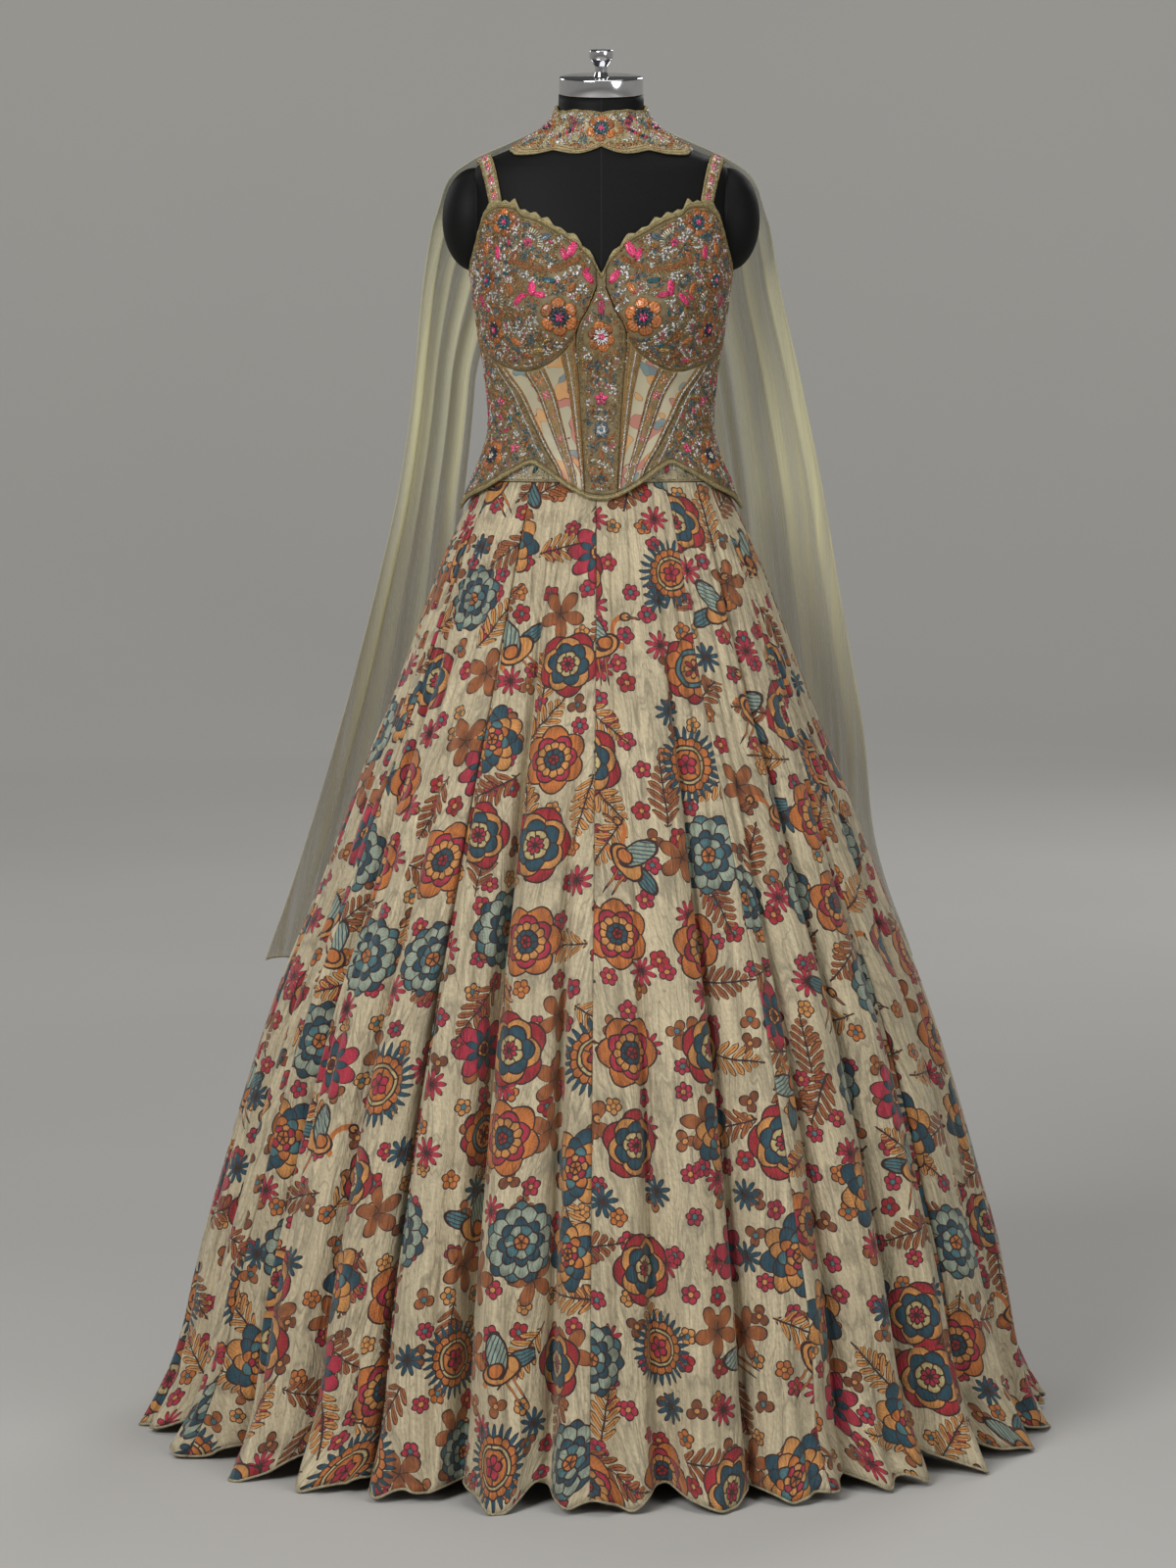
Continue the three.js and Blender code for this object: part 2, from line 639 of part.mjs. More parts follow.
// The phi of each column of the panels at the upper edge and at the hem, round from the back.
const ringOf = (half) => [...half.map((phi) => -phi).reverse(), ...half.slice(1, -1)];
const backColumns = [...phisAt(backPanel, BACK_COLUMNS, 1).slice(0, -1), 180];
const hemCentre = bodicePoint(frontPanel, 0, 0).phi;
const topColumns = ringOf([0, ...cupColumns.slice(0, -1), ...backColumns]);
const hemColumns = ringOf([
  0,
  hemCentre / 2,
  ...phisAt(frontPanel, FRONT_COLUMNS, 0).slice(0, -1),
  ...phisAt(sidePanel, SIDE_COLUMNS, 0).slice(0, -1),
  ...backColumns,
]);
add("choli_neck_binding", binding(topColumns, topAt, 1), goldCord);
add("choli_hem_binding", binding(hemColumns, hemAt, -1), goldCord);

// The height of the form's ridge at a distance from its centre plane.
function ridgeHeight(x) {
  let low = 1425;
  let high = 1560;
  for (let k = 0; k < 30; k += 1) {
    const middle = (low + high) / 2;
    if (readTable(FORM, "z", middle, "half") > x) low = middle;
    else high = middle;
  }
  return low;
}

// A strap from the top of a cup, over the shoulder and down to the back.
function strap(side) {
  const rows = 14;
  const place = (u, v, inner) => {
    const overFront = Math.min(1, v / 0.42);
    const overBack = Math.max(0, (v - 0.42) / 0.58);
    const x = 122 + 16 * overFront - 38 * overBack + (u - 0.5) * STRAP_WIDTH;
    const ridge = ridgeHeight(x) - 0.4;
    const rise = overBack > 0 ? Math.cos((Math.PI / 2) * overBack) : Math.sin((Math.PI / 2) * overFront);
    const edge = topAt(overBack > 0 ? 180 - phiAtX(x, 1370) : phiAtX(x, 1445));
    const low = edge + BINDING_WIDTH + 1.8;
    const z = low + (ridge - low) * rise;
    const phi = phiAtX(x, z);
    const turned = overBack > 0 ? 180 - phi : phi;
    return offForm(side * turned, z, STRAP_EASE + (1 - inner) * STRAP_WALL);
  };
  return wallGeometry(2, rows, place);
}
add("choli_strap_left", strap(-1), embroidery);
add("choli_strap_right", strap(1), embroidery);

// The beaded collar round the neck's foot, open at the centre back.
function collar() {
  const place = (u, v, inner) => {
    const phi = (2 * u - 1) * (180 - COLLAR_OPENING);
    const low = readTable(COLLAR_FOOT, "phi", Math.abs(phi), "z");
    const high = readTable(COLLAR_TOP, "phi", Math.abs(phi), "z");
    const z = THREE.MathUtils.lerp(low, high, v);
    return offForm(phi, z, COLLAR_EASE + (1 - inner) * COLLAR_WALL);
  };
  return wallGeometry(32, 3, place);
}
add("collar", collar(), embroidery);

// A net trail: sewn on the collar, smooth over the shoulder, and folded where it hangs free.
function netTrail(sections, side) {
  const levels = [NET_TOP, 1526, 1517, 1508, 1498, 1484, 1462, 1430, 1350, 1240, 1120, 980, 830, 680, 530];
  const table = sections.map((row) => ({ ...row, front: row.back, square: 2.1 }));
  const surface = (phi, z) => ovalPoint(table, phi, z);
  const place = (u, v, inner) => {
    const z = levels[Math.round(v * (levels.length - 1))];
    const free = 1 - smooth(NET_FREE, NET_ON_FORM, z);
    const turn = 2 * Math.PI * NET_FOLDS * u;
    const along = u + free * 0.021 * Math.sin(turn);
    const phi = THREE.MathUtils.lerp(readTable(table, "z", z, "from"), readTable(table, "z", z, "to"), along);
    const wave = free * NET_FOLD_DEPTH * (0.5 + 0.5 * Math.cos(turn));
    const p = surface(phi, z).addScaledVector(surfaceNormal(surface, phi, z), wave - inner * NET_WALL);
    const sewn = offForm(phi, z, COLLAR_EASE + COLLAR_WALL + NET_SEWN_GAP + (1 - inner) * NET_WALL);
    if (z === NET_TOP) p.copy(sewn);
    p.x *= side;
    return p;
  };
  return wallGeometry(16, levels.length - 1, place);
}
add("net_trail_left", netTrail(NET_LEFT, -1), net);
add("net_trail_right", netTrail(NET_RIGHT, 1), net);

// The form, its neck cap and knob, and the stand below it.
const wasm = await Module();
wasm.setup();

function toManifold(geometry) {
  const vertProperties = new Float32Array(geometry.attributes.position.array);
  const triVerts = new Uint32Array(geometry.index.array);
  return new wasm.Manifold(new wasm.Mesh({ numProp: 3, vertProperties, triVerts }));
}

function fromManifold(solid) {
  const mesh = solid.getMesh();
  const geometry = new THREE.BufferGeometry();
  geometry.setAttribute("position", new THREE.BufferAttribute(mesh.vertProperties, 3));
  geometry.setIndex(new THREE.BufferAttribute(mesh.triVerts, 1));
  return geometry;
}

function armCap(side) {
  const ball = new THREE.SphereGeometry(1, 24, 14);
  ball.deleteAttribute("normal");
  ball.deleteAttribute("uv");
  ball.rotateZ(Math.PI / 2);
  ball.scale(ARM_CAP.wide, ARM_CAP.deep, ARM_CAP.high);
  ball.translate(side * ARM_CAP.x, ARM_CAP.y, ARM_CAP.z);
  return toManifold(mergeVertices(ball, 1e-3));
}

// The form's columns stand closer together in front than at the back.
function formRing(turn, level) {
  const phi = turn < 240 ? -90 + turn * 0.75 : 90 + (turn - 240) * 1.5;
  return formPoint(phi, level);
}
const formLevels = [...FORM.map((row) => row.z), ...BUST_LEVELS].sort((a, b) => a - b);
const torso = toManifold(loftGeometry(48, formLevels, formRing));
const body = torso.add(armCap(-1)).add(armCap(1));
add("form_body", fromManifold(body), formCloth);

const head = new THREE.Group();
head.position.set(0, 0, NECK_TOP + 0.4);
head.rotation.x = deg(NECK_TILT);
garment.add(head);

// A body turned about +Z from a profile of radius and height.
function turned(profile, segments) {
  const points = profile.map(([radius, height]) => new THREE.Vector2(radius, height));
  const geometry = new THREE.LatheGeometry(points, segments);
  geometry.rotateX(Math.PI / 2);
  geometry.deleteAttribute("normal");
  geometry.deleteAttribute("uv");
  return mergeVertices(geometry, 1e-3);
}
const CAP_PROFILE = [
  [0, 0],
  [CAP_RADIUS, 0],
  [CAP_RADIUS, CAP_HEIGHT - 2],
  [CAP_RADIUS - 2, CAP_HEIGHT],
  [0, CAP_HEIGHT],
];
const KNOB_PROFILE = [
  [0, 0],
  [9, 0],
  [7.4, 4],
  [7, 9],
  [9, 15],
  [13.4, 20],
  [14, 22],
  [14, KNOB_HEIGHT - 1.5],
  [12.5, KNOB_HEIGHT],
  [0, KNOB_HEIGHT],
];
const cap = add("form_neck_cap", turned(CAP_PROFILE, 40), chrome);
const knob = add("form_neck_knob", turned(KNOB_PROFILE, 20), chrome);
head.add(cap, knob);
knob.position.z = CAP_HEIGHT + SEAM_GAP;

const POLE_HEIGHT = FORM_FOOT - BASE_HEIGHT - 2 * SEAM_GAP;
const POLE_PROFILE = [
  [0, 0],
  [POLE_RADIUS, 0],
  [POLE_RADIUS, POLE_HEIGHT],
  [0, POLE_HEIGHT],
];
const BASE_PROFILE = [
  [0, 0],
  [BASE_RADIUS, 0],
  [BASE_RADIUS, BASE_HEIGHT - 4],
  [BASE_RADIUS - 5, BASE_HEIGHT],
  [0, BASE_HEIGHT],
];
add("stand_pole", turned(POLE_PROFILE, 24), standMetal).position.z = BASE_HEIGHT + SEAM_GAP;
add("stand_base", turned(BASE_PROFILE, 40), standMetal);

export default garment;
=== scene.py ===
"""Lehenga choli on a dress form: printed skirt, beaded bodice, collar and net trails."""
import math

import bmesh
import bpy
import numpy as np
from bpy.props import FloatProperty, FloatVectorProperty, IntProperty, PointerProperty
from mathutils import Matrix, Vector


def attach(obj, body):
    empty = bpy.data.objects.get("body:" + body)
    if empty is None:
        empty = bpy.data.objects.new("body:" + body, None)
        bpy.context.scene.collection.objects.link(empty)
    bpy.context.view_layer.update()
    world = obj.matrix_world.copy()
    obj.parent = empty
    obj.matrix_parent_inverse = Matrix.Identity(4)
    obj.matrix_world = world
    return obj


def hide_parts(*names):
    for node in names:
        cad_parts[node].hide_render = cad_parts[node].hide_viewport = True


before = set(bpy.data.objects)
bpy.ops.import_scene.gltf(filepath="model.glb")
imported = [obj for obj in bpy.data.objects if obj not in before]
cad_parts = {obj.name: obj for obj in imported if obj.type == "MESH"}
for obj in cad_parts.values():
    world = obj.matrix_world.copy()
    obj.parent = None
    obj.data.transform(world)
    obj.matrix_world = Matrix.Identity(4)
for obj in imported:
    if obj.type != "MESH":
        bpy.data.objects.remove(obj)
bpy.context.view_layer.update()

bl_info = {
    "name": "Lehenga Choli on a Dress Form",
    "version": (1, 0, 0),
    "blender": (4, 5, 0),
    "location": "3D View > Sidebar > Lehenga",
    "description": "Cuts, sews, prints and beads a lehenga choli round its packed solids",
    "category": "Object",
}

MM = 0.001
SIDES = ((-1, "left"), (1, "right"))

# Sizes in millimetres, as in the part's source
SEAM_GAP = 0.3
CUP_SEAM_SPARE = 0.8
SKIRT_WALL = 1.7
BODICE_WALL = 2.2
BODICE_EASE = 2.4
BINDING_WIDTH = 5.5
BINDING_EXTRA = 0.8
STRAP_WIDTH = 13
STRAP_WALL = 2.2
STRAP_EASE = 1.9
COLLAR_WALL = 2.2
COLLAR_EASE = 1.3
COLLAR_OPENING = 2.5
NET_WALL = 1
NET_TOP = 1540
NET_SEWN_GAP = 0.55
NET_ON_FORM = 1475
NET_FREE = 1425
GORES = 12
WAISTBAND_TOP = 1157
WAISTBAND_FOOT = 1128.2
WAISTBAND_WALL = 2
SKIRT_TOP = 1127.6
NECK_TOP = 1583
NECK_TILT = 9
FIRST_SEAM = -1.5
HEM_KICK = 12
HEM_KICK_HEIGHT = 90
HEM_LIFT = 14
HEM_ROLL = 1.6
LOBE_OUT = 38
LOBE_LIFT = 20
FLUTTER_OUT = 5
FLUTTER_LIFT = 4
SIDE_SEAM = 88
CUP_START = 1.3
BUST_X = 65
BUST_Z = 1324
BUST_RISE = 28
BUST_WIDE = 46
BUST_HIGH = 45
CAP_RADIUS = 49.8
CAP_HEIGHT = 21
KNOB_HEIGHT = 31
ARM_CAP = {"x": 150, "y": 11, "z": 1437, "wide": 38.5, "deep": 46, "high": 61}

# How finely the scene's own pieces are drawn
FORM_COLUMNS = 112
FORM_ROWS = 80
BINDING_COLUMNS = 432
BINDING_ROWS = 7
NET_COLUMNS = 76
NET_ROWS = 112

# The stage, in metres, and the camera's lens in millimetres
SWEEP_RADIUS = 12.0
SWEEP_BEND = 2.5
SWEEP_HEIGHT = 4.5
LENS = 102.04
SENSOR = 36


def table(columns, *rows):
    """Named columns of a table, as arrays."""
    return dict(zip(columns.split(), np.array(rows, float).T))


FORM = table(
    "z half front back square",
    (905, 158, 106, 124, 2.2),
    (1030, 161, 103, 122, 2.2),
    (1096, 150, 97, 108, 2.25),
    (1127, 143.3, 94, 100, 2.3),
    (1160, 134.5, 90, 92, 2.3),
    (1200, 129.3, 88, 88, 2.3),
    (1240, 132, 90, 92, 2.3),
    (1275, 136, 93, 97, 2.3),
    (1310, 141, 96, 101, 2.3),
    (1345, 146, 98, 104, 2.3),
    (1374, 149.5, 98, 105, 2.35),
    (1391, 151, 97, 105, 2.35),
    (1425, 152, 92, 103, 2.35),
    (1465, 153, 80, 96, 2.3),
    (1485, 152.5, 73, 90, 2.25),
    (1496, 149, 69, 86, 2.2),
    (1503, 142, 66, 82, 2.15),
    (1509, 132, 64, 78, 2.1),
    (1515, 117, 62, 74, 2.05),
    (1521, 102, 60, 70, 2),
    (1530, 84, 57, 65, 2),
    (1541, 69, 54, 60, 2),
    (1553, 57, 50.5, 55, 2),
    (1566, 50.8, 48.5, 51.5, 2),
    (1583, 50.2, 48, 51, 2),
)
FLARE = table(
    "z off",
    (1090, 13.2),
    (1096, 12.6),
    (1120, 8),
    (1142, 4.8),
    (1161, 2.2),
    (1185, 0),
    (1255, 0),
    (1300, 1.6),
    (1345, 1.6),
    (1400, 0.3),
    (1460, 0),
)
SKIRT = table(
    "z half front back square",
    (0, 532, 497, 508, 2),
    (48, 518, 487, 499, 2),
    (109, 504, 477, 488, 2),
    (169, 495, 468, 479, 2),
    (229, 481, 457, 467, 2),
    (289, 463, 442, 451, 2),
    (409, 428, 408, 417, 2),
    (528, 387.5, 370, 379, 2),
    (647, 338.5, 323, 331, 2),
    (765, 294, 275, 284, 2),
    (883, 246, 225, 234, 2),
    (1000, 202.5, 171, 180, 2.05),
    (1050, 183, 145, 155, 2.1),
    (1096, 160.5, 112, 123, 2.2),
    (1112, 152.5, 103, 112, 2.25),
    (1128, 146.4, 97.3, 103.4, 2.3),
)
FOLDS = table(
    "at depth wide start",
    (-88, 30, 3.6, 1000),
    (-72, 26, 3.4, 900),
    (-57, 38, 3.4, 1070),
    (-42, 26, 3.2, 860),
    (-31, 24, 3.0, 900),
    (-20, 46, 3.4, 1110),
    (-7, 30, 3.2, 860),
    (7, 26, 3.2, 780),
    (20, 34, 3.4, 1040),
    (34, 30, 3.2, 900),
    (46, 36, 3.0, 1080),
    (57.5, 28, 3.0, 860),
    (72, 36, 3.6, 1020),
    (88, 30, 3.4, 940),
    (102, 34, 3.4, 1060),
    (117, 26, 3.2, 840),
    (131, 38, 3.4, 1040),
    (145, 30, 3.4, 880),
    (160, 34, 3.2, 1080),
    (174, 28, 3.4, 860),
    (188, 38, 3.4, 1060),
    (203, 30, 3.2, 900),
    (216, 26, 3.0, 800),
    (229, 36, 3.4, 1070),
    (243, 32, 3.4, 880),
    (258, 28, 3.2, 940),
)
NECKLINE = table(
    "x z",
    (0, 1364),
    (10, 1383),
    (19, 1393),
    (28, 1403),
    (52, 1418),
    (79, 1433),
    (92, 1437),
    (101, 1446),
    (118, 1448),
    (132, 1440),
    (141, 1410),
    (147, 1386),
)
BACK_TOP = table("phi z", (90, 1369), (112, 1362), (146, 1356), (180, 1352))
HEM = table(
    "x z",
    (0, 1112),
    (12, 1113.5),
    (24, 1118.5),
    (45, 1131.5),
    (63, 1145),
    (79, 1154),
    (97, 1144.5),
    (125, 1125),
)
HEM_SIDE = table("phi z", (78, 1110), (90, 1097), (104, 1108), (128, 1126), (152, 1126), (180, 1114))
CUP_LINE = table(
    "x z",
    (31, 1303),
    (38, 1290),
    (50, 1275.5),
    (65, 1265),
    (80, 1259.5),
    (92, 1258),
    (105, 1261.5),
    (120, 1269),
)
CENTRE_EDGE = table(
    "z x", (1100, 18), (1120, 18.7), (1180, 22), (1250, 26.5), (1303, 31), (1332, 17), (1362, 2.5)
)
PRINCESS_EDGE = table(
    "z x",
    (1090, 33),
    (1141, 50),
    (1173, 68),
    (1202, 82),
    (1230.5, 95),
    (1255.5, 112),
    (1269, 120),
    (1300, 139),
)
COLLAR_FOOT = table(
    "phi z",
    (0, 1519),
    (12, 1512.5),
    (26, 1514.5),
    (36, 1511.5),
    (48, 1511),
    (84, 1525),
    (130, 1527),
    (180, 1522),
)
COLLAR_TOP = table("phi z", (0, 1562), (30, 1566), (62, 1563), (90, 1569), (180, 1560))
NET_SHOULDER = (
    (1437, 198, 111, 105, 163),
    (1470, 190, 106, 99, 168),
    (1486, 180, 99, 93, 170),
    (1497, 168, 94, 88, 171),
    (1503, 158, 91, 87, 172),
    (1509, 149, 88, 86, 172),
    (1517, 131, 84, 85, 173),
    (1526, 110, 78, 84, 173),
    (1540, 84, 70, 84, 174),
)
NET_LEFT = table(
    "z half back start end",
    (530, 414, 392, 105, 158),
    (680, 362, 331, 105, 154),
    (830, 315, 270, 105, 150),
    (980, 272, 203, 104, 144),
    (1120, 239, 134, 104, 139),
    (1240, 221, 120, 104, 139),
    (1360, 211, 118, 105, 150),
    *NET_SHOULDER,
)
NET_RIGHT = table(
    "z half back start end",
    (530, 404, 392, 112, 168),
    (680, 350, 331, 111, 166),
    (830, 320, 270, 106, 164),
    (980, 289, 203, 104, 162),
    (1120, 264, 134, 104, 160),
    (1240, 238, 120, 104, 160),
    (1360, 212, 118, 105, 162),
    *NET_SHOULDER,
)


# Curves and surfaces

def read_table(rows, key, at, column):
    """A column at any value of its key, as a smooth curve with no overshoot."""
    x, y = rows[key], rows[column]
    at = np.clip(at, x[0], x[-1])
    slope = np.diff(y) / np.diff(x)
    product = slope[:-1] * slope[1:]
    total = slope[:-1] + slope[1:]
    inner = np.where(product > 0, 2 * product / np.where(total == 0, 1, total), 0)
    tangent = np.concatenate(([slope[0]], inner, [slope[-1]]))
    i = np.clip(np.searchsorted(x, at, "right") - 1, 0, len(x) - 2)
    width = x[i + 1] - x[i]
    t = (at - x[i]) / width
    s = 1 - t
    return (
        y[i] * (1 + 2 * t) * s * s
        + y[i + 1] * t * t * (3 - 2 * t)
        + tangent[i] * width * t * s * s
        - tangent[i + 1] * width * t * t * s
    )


def smooth(low, high, value):
    t = np.clip((value - low) / (high - low), 0, 1)
    return t * t * (3 - 2 * t)


def oval_point(rows, phi, z):
    """A point of a level oval, phi degrees round from the centre front towards +X."""
    half = read_table(rows, "z", z, "half")
    power = 2 / read_table(rows, "z", z, "square")
    s, c = np.sin(np.radians(phi)), np.cos(np.radians(phi))
    reach = np.where(c > 0, read_table(rows, "z", z, "front"), read_table(rows, "z", z, "back"))
    x = np.sign(s) * half * np.abs(s) ** power
    y = -np.sign(c) * reach * np.abs(c) ** power
    return np.stack(np.broadcast_arrays(x, y, z), -1).astype(float)


def form_point(phi, z):
    """The form's surface, with the bust in front and the neck's cut leaning forward."""
    p = oval_point(FORM, phi, z)
    front = smooth(0, 1, np.cos(np.radians(phi)) * 1.6)
    rise = sum(
        np.exp(-((p[..., 0] - side * BUST_X) / BUST_WIDE) ** 2 - ((z - BUST_Z) / BUST_HIGH) ** 2)
        for side in (-1, 1)
    )
    p[..., 1] -= BUST_RISE * front * rise
    p[..., 2] += p[..., 1] * math.tan(math.radians(NECK_TILT)) * smooth(1545, NECK_TOP, z)
    return p


def unit(vectors):
    return vectors / np.linalg.norm(vectors, axis=-1, keepdims=True)


def surface_normal(surface, phi, z):
    across = surface(phi + 0.4, z) - surface(phi - 0.4, z)
    up = surface(phi, z + 0.8) - surface(phi, z - 0.8)
    return unit(np.cross(across, up))


def off_form(phi, z, distance):
    distance = np.asarray(distance, float)[..., None]
    return form_point(phi, z) + surface_normal(form_point, phi, z) * distance


def bodice_inside(z):
    return BODICE_EASE + read_table(FLARE, "z", z, "off")


def phi_at_x(x, z):
    """The phi at which the form is x millimetres from its centre plane, in front."""
    half = read_table(FORM, "z", z, "half")
    square = read_table(FORM, "z", z, "square")
    return np.degrees(np.arcsin(np.minimum(1, np.abs(x) / half) ** (square / 2)))


def edge_by_phi(front, *rest):
    """An edge given by distance from the centre in front, and by phi farther round."""
    phi = np.concatenate([phi_at_x(front["x"], front["z"]), *[r["phi"] for r in rest]])
    z = np.concatenate([front["z"], *[r["z"] for r in rest]])
    return {"phi": phi, "z": z}


TOP_EDGE = edge_by_phi(NECKLINE, BACK_TOP)
HEM_EDGE = edge_by_phi(HEM, HEM_SIDE)
CUP_EDGE = edge_by_phi(CUP_LINE, {"phi": [88], "z": [1300]})


def top_at(phi):
    return read_table(TOP_EDGE, "phi", phi, "z")


def hem_at(phi):
    return read_table(HEM_EDGE, "phi", phi, "z")


def cup_at(phi):
    return read_table(CUP_EDGE, "phi", phi, "z")


def centre_at(z):
    return phi_at_x(read_table(CENTRE_EDGE, "z", z, "x"), z)


def princess_at(z):
    return phi_at_x(read_table(PRINCESS_EDGE, "z", z, "x"), z)


# Meshes

def grid_normals(points):
    return unit(np.cross(np.gradient(points, axis=1), np.gradient(points, axis=0)))


def grid_area(points):
    """The area of a grid of points, and its greatest width and length."""
    across = np.diff(points, axis=1)
    along = np.diff(points, axis=0)
    cells = np.cross(across[:-1], along[:, :-1])
    area = np.linalg.norm(cells, axis=-1).sum()
    width = np.linalg.norm(across, axis=-1).sum(axis=1).max()
    length = np.linalg.norm(along, axis=-1).sum(axis=0).max()
    return area, width, length


def add_uvs(mesh, name, uvs):
    """A UV layer, from a pair for each point of the mesh."""
    layer = mesh.uv_layers.new(name=name)
    corners = np.empty(len(mesh.loops), int)
    mesh.loops.foreach_get("vertex_index", corners)
    layer.data.foreach_set("uv", np.asarray(uvs, float)[corners].ravel())


def new_mesh_object(name, points, faces, uvs=None):
    """A mesh object from points in millimetres, with a UV in metres for each point."""
    mesh = bpy.data.meshes.new(name)
    mesh.from_pydata((np.asarray(points) * MM).tolist(), [], faces)
    if uvs is not None:
        add_uvs(mesh, "cloth", uvs)
    mesh.shade_smooth()
    piece = bpy.data.objects.new(name, mesh)
    bpy.context.scene.collection.objects.link(piece)
    return piece


def wall(name, outer, inner, uvs, ring=False):
    """A closed cloth wall between two grids of points. A ring joins its last column to its first."""
    rows, columns = outer.shape[:2]
    count = rows * columns
    j, i = np.meshgrid(np.arange(rows - 1), np.arange(columns if ring else columns - 1), indexing="ij")
    a = (j * columns + i).ravel()
    b = (j * columns + (i + 1) % columns).ravel()
    c, d = b + columns, a + columns
    faces = np.concatenate(
        [np.stack([a, b, c, d], -1), np.stack([a, d, c, b], -1) + count]
    ).tolist()

    def rim(line):
        first, second = line[:-1], line[1:]
        return np.stack([second, first, first + count, second + count], -1).tolist()

    foot = np.arange(columns)
    head = foot[::-1] + (rows - 1) * columns
    if ring:
        foot, head = np.append(foot, foot[0]), np.append(head, head[0])
    faces += rim(foot) + rim(head)
    if not ring:
        left = np.arange(rows)[::-1] * columns
        right = np.arange(rows) * columns + columns - 1
        faces += rim(left) + rim(right)
    points = np.concatenate([outer.reshape(-1, 3), inner.reshape(-1, 3)])
    flat = uvs.reshape(-1, 2)
    return new_mesh_object(name, points, faces, np.concatenate([flat, flat]))


def cloth_uvs(points, shift=(0.0, 0.0)):
    """Each grid point's place on its flat cloth, in metres, from the middle of the grid."""
    across = np.linalg.norm(np.diff(points, axis=1), axis=-1)
    along = np.linalg.norm(np.diff(points, axis=0), axis=-1)
    u = np.concatenate([np.zeros((len(points), 1)), np.cumsum(across, axis=1)], axis=1)
    v = np.concatenate([[0], np.cumsum(along.mean(axis=1))])
    u = u - u[:, -1:] / 2
    grid = np.stack(np.broadcast_arrays(u, v[:, None]), -1) * MM
    return grid + np.array(shift)


def finish_piece(piece, slot, material, *nodes):
    """Dresses a piece, rides it on the one body and lets it stand for its nodes."""
    piece.data.materials.clear()
    piece.data.materials.append(material)
    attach(piece, "root")
    if nodes:
        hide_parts(*nodes)


def declare_sheet(outer):
    area, width, length = grid_area(outer)
    width, length, area = width * MM, length * MM, area * MM * MM
    share = min(1.0, max(0.3, area / (width * length)))
    share * width * length


# Shader maths

class Number:
    """A number that varies over a surface. Python's operators add its Math nodes."""

    def __init__(self, finish, socket):
        self.finish = finish
        self.socket = socket

    def math(self, operation, *others):
        values = {0: self.socket}
        for place, other in enumerate(others, 1):
            values[place] = other.socket if isinstance(other, Number) else float(other)
        node = self.finish.node("ShaderNodeMath", {"operation": operation}, values)
        return Number(self.finish, node.outputs[0])

    def reflected(self, operation, other):
        node = self.finish.node("ShaderNodeMath", {"operation": operation}, {0: float(other), 1: self.socket})
        return Number(self.finish, node.outputs[0])

    def __add__(self, other):
        return self.math("ADD", other)

    __radd__ = __add__

    def __sub__(self, other):
        return self.math("SUBTRACT", other)

    def __rsub__(self, other):
        return self.reflected("SUBTRACT", other)

    def __mul__(self, other):
        return self.math("MULTIPLY", other)

    __rmul__ = __mul__

    def __truediv__(self, other):
        return self.math("DIVIDE", other)

    def __pow__(self, other):
        return self.math("POWER", other)

    def __lt__(self, other):
        return self.math("LESS_THAN", other)

    def __gt__(self, other):
        return self.math("GREATER_THAN", other)

    def sin(self):
        return self.math("SINE")

    def cos(self):
        return self.math("COSINE")

    def abs(self):
        return self.math("ABSOLUTE")

    def fract(self):
        return self.math("FRACT")

    def max(self, other):
        return self.math("MAXIMUM", other)

    def min(self, other):
        return self.math("MINIMUM", other)


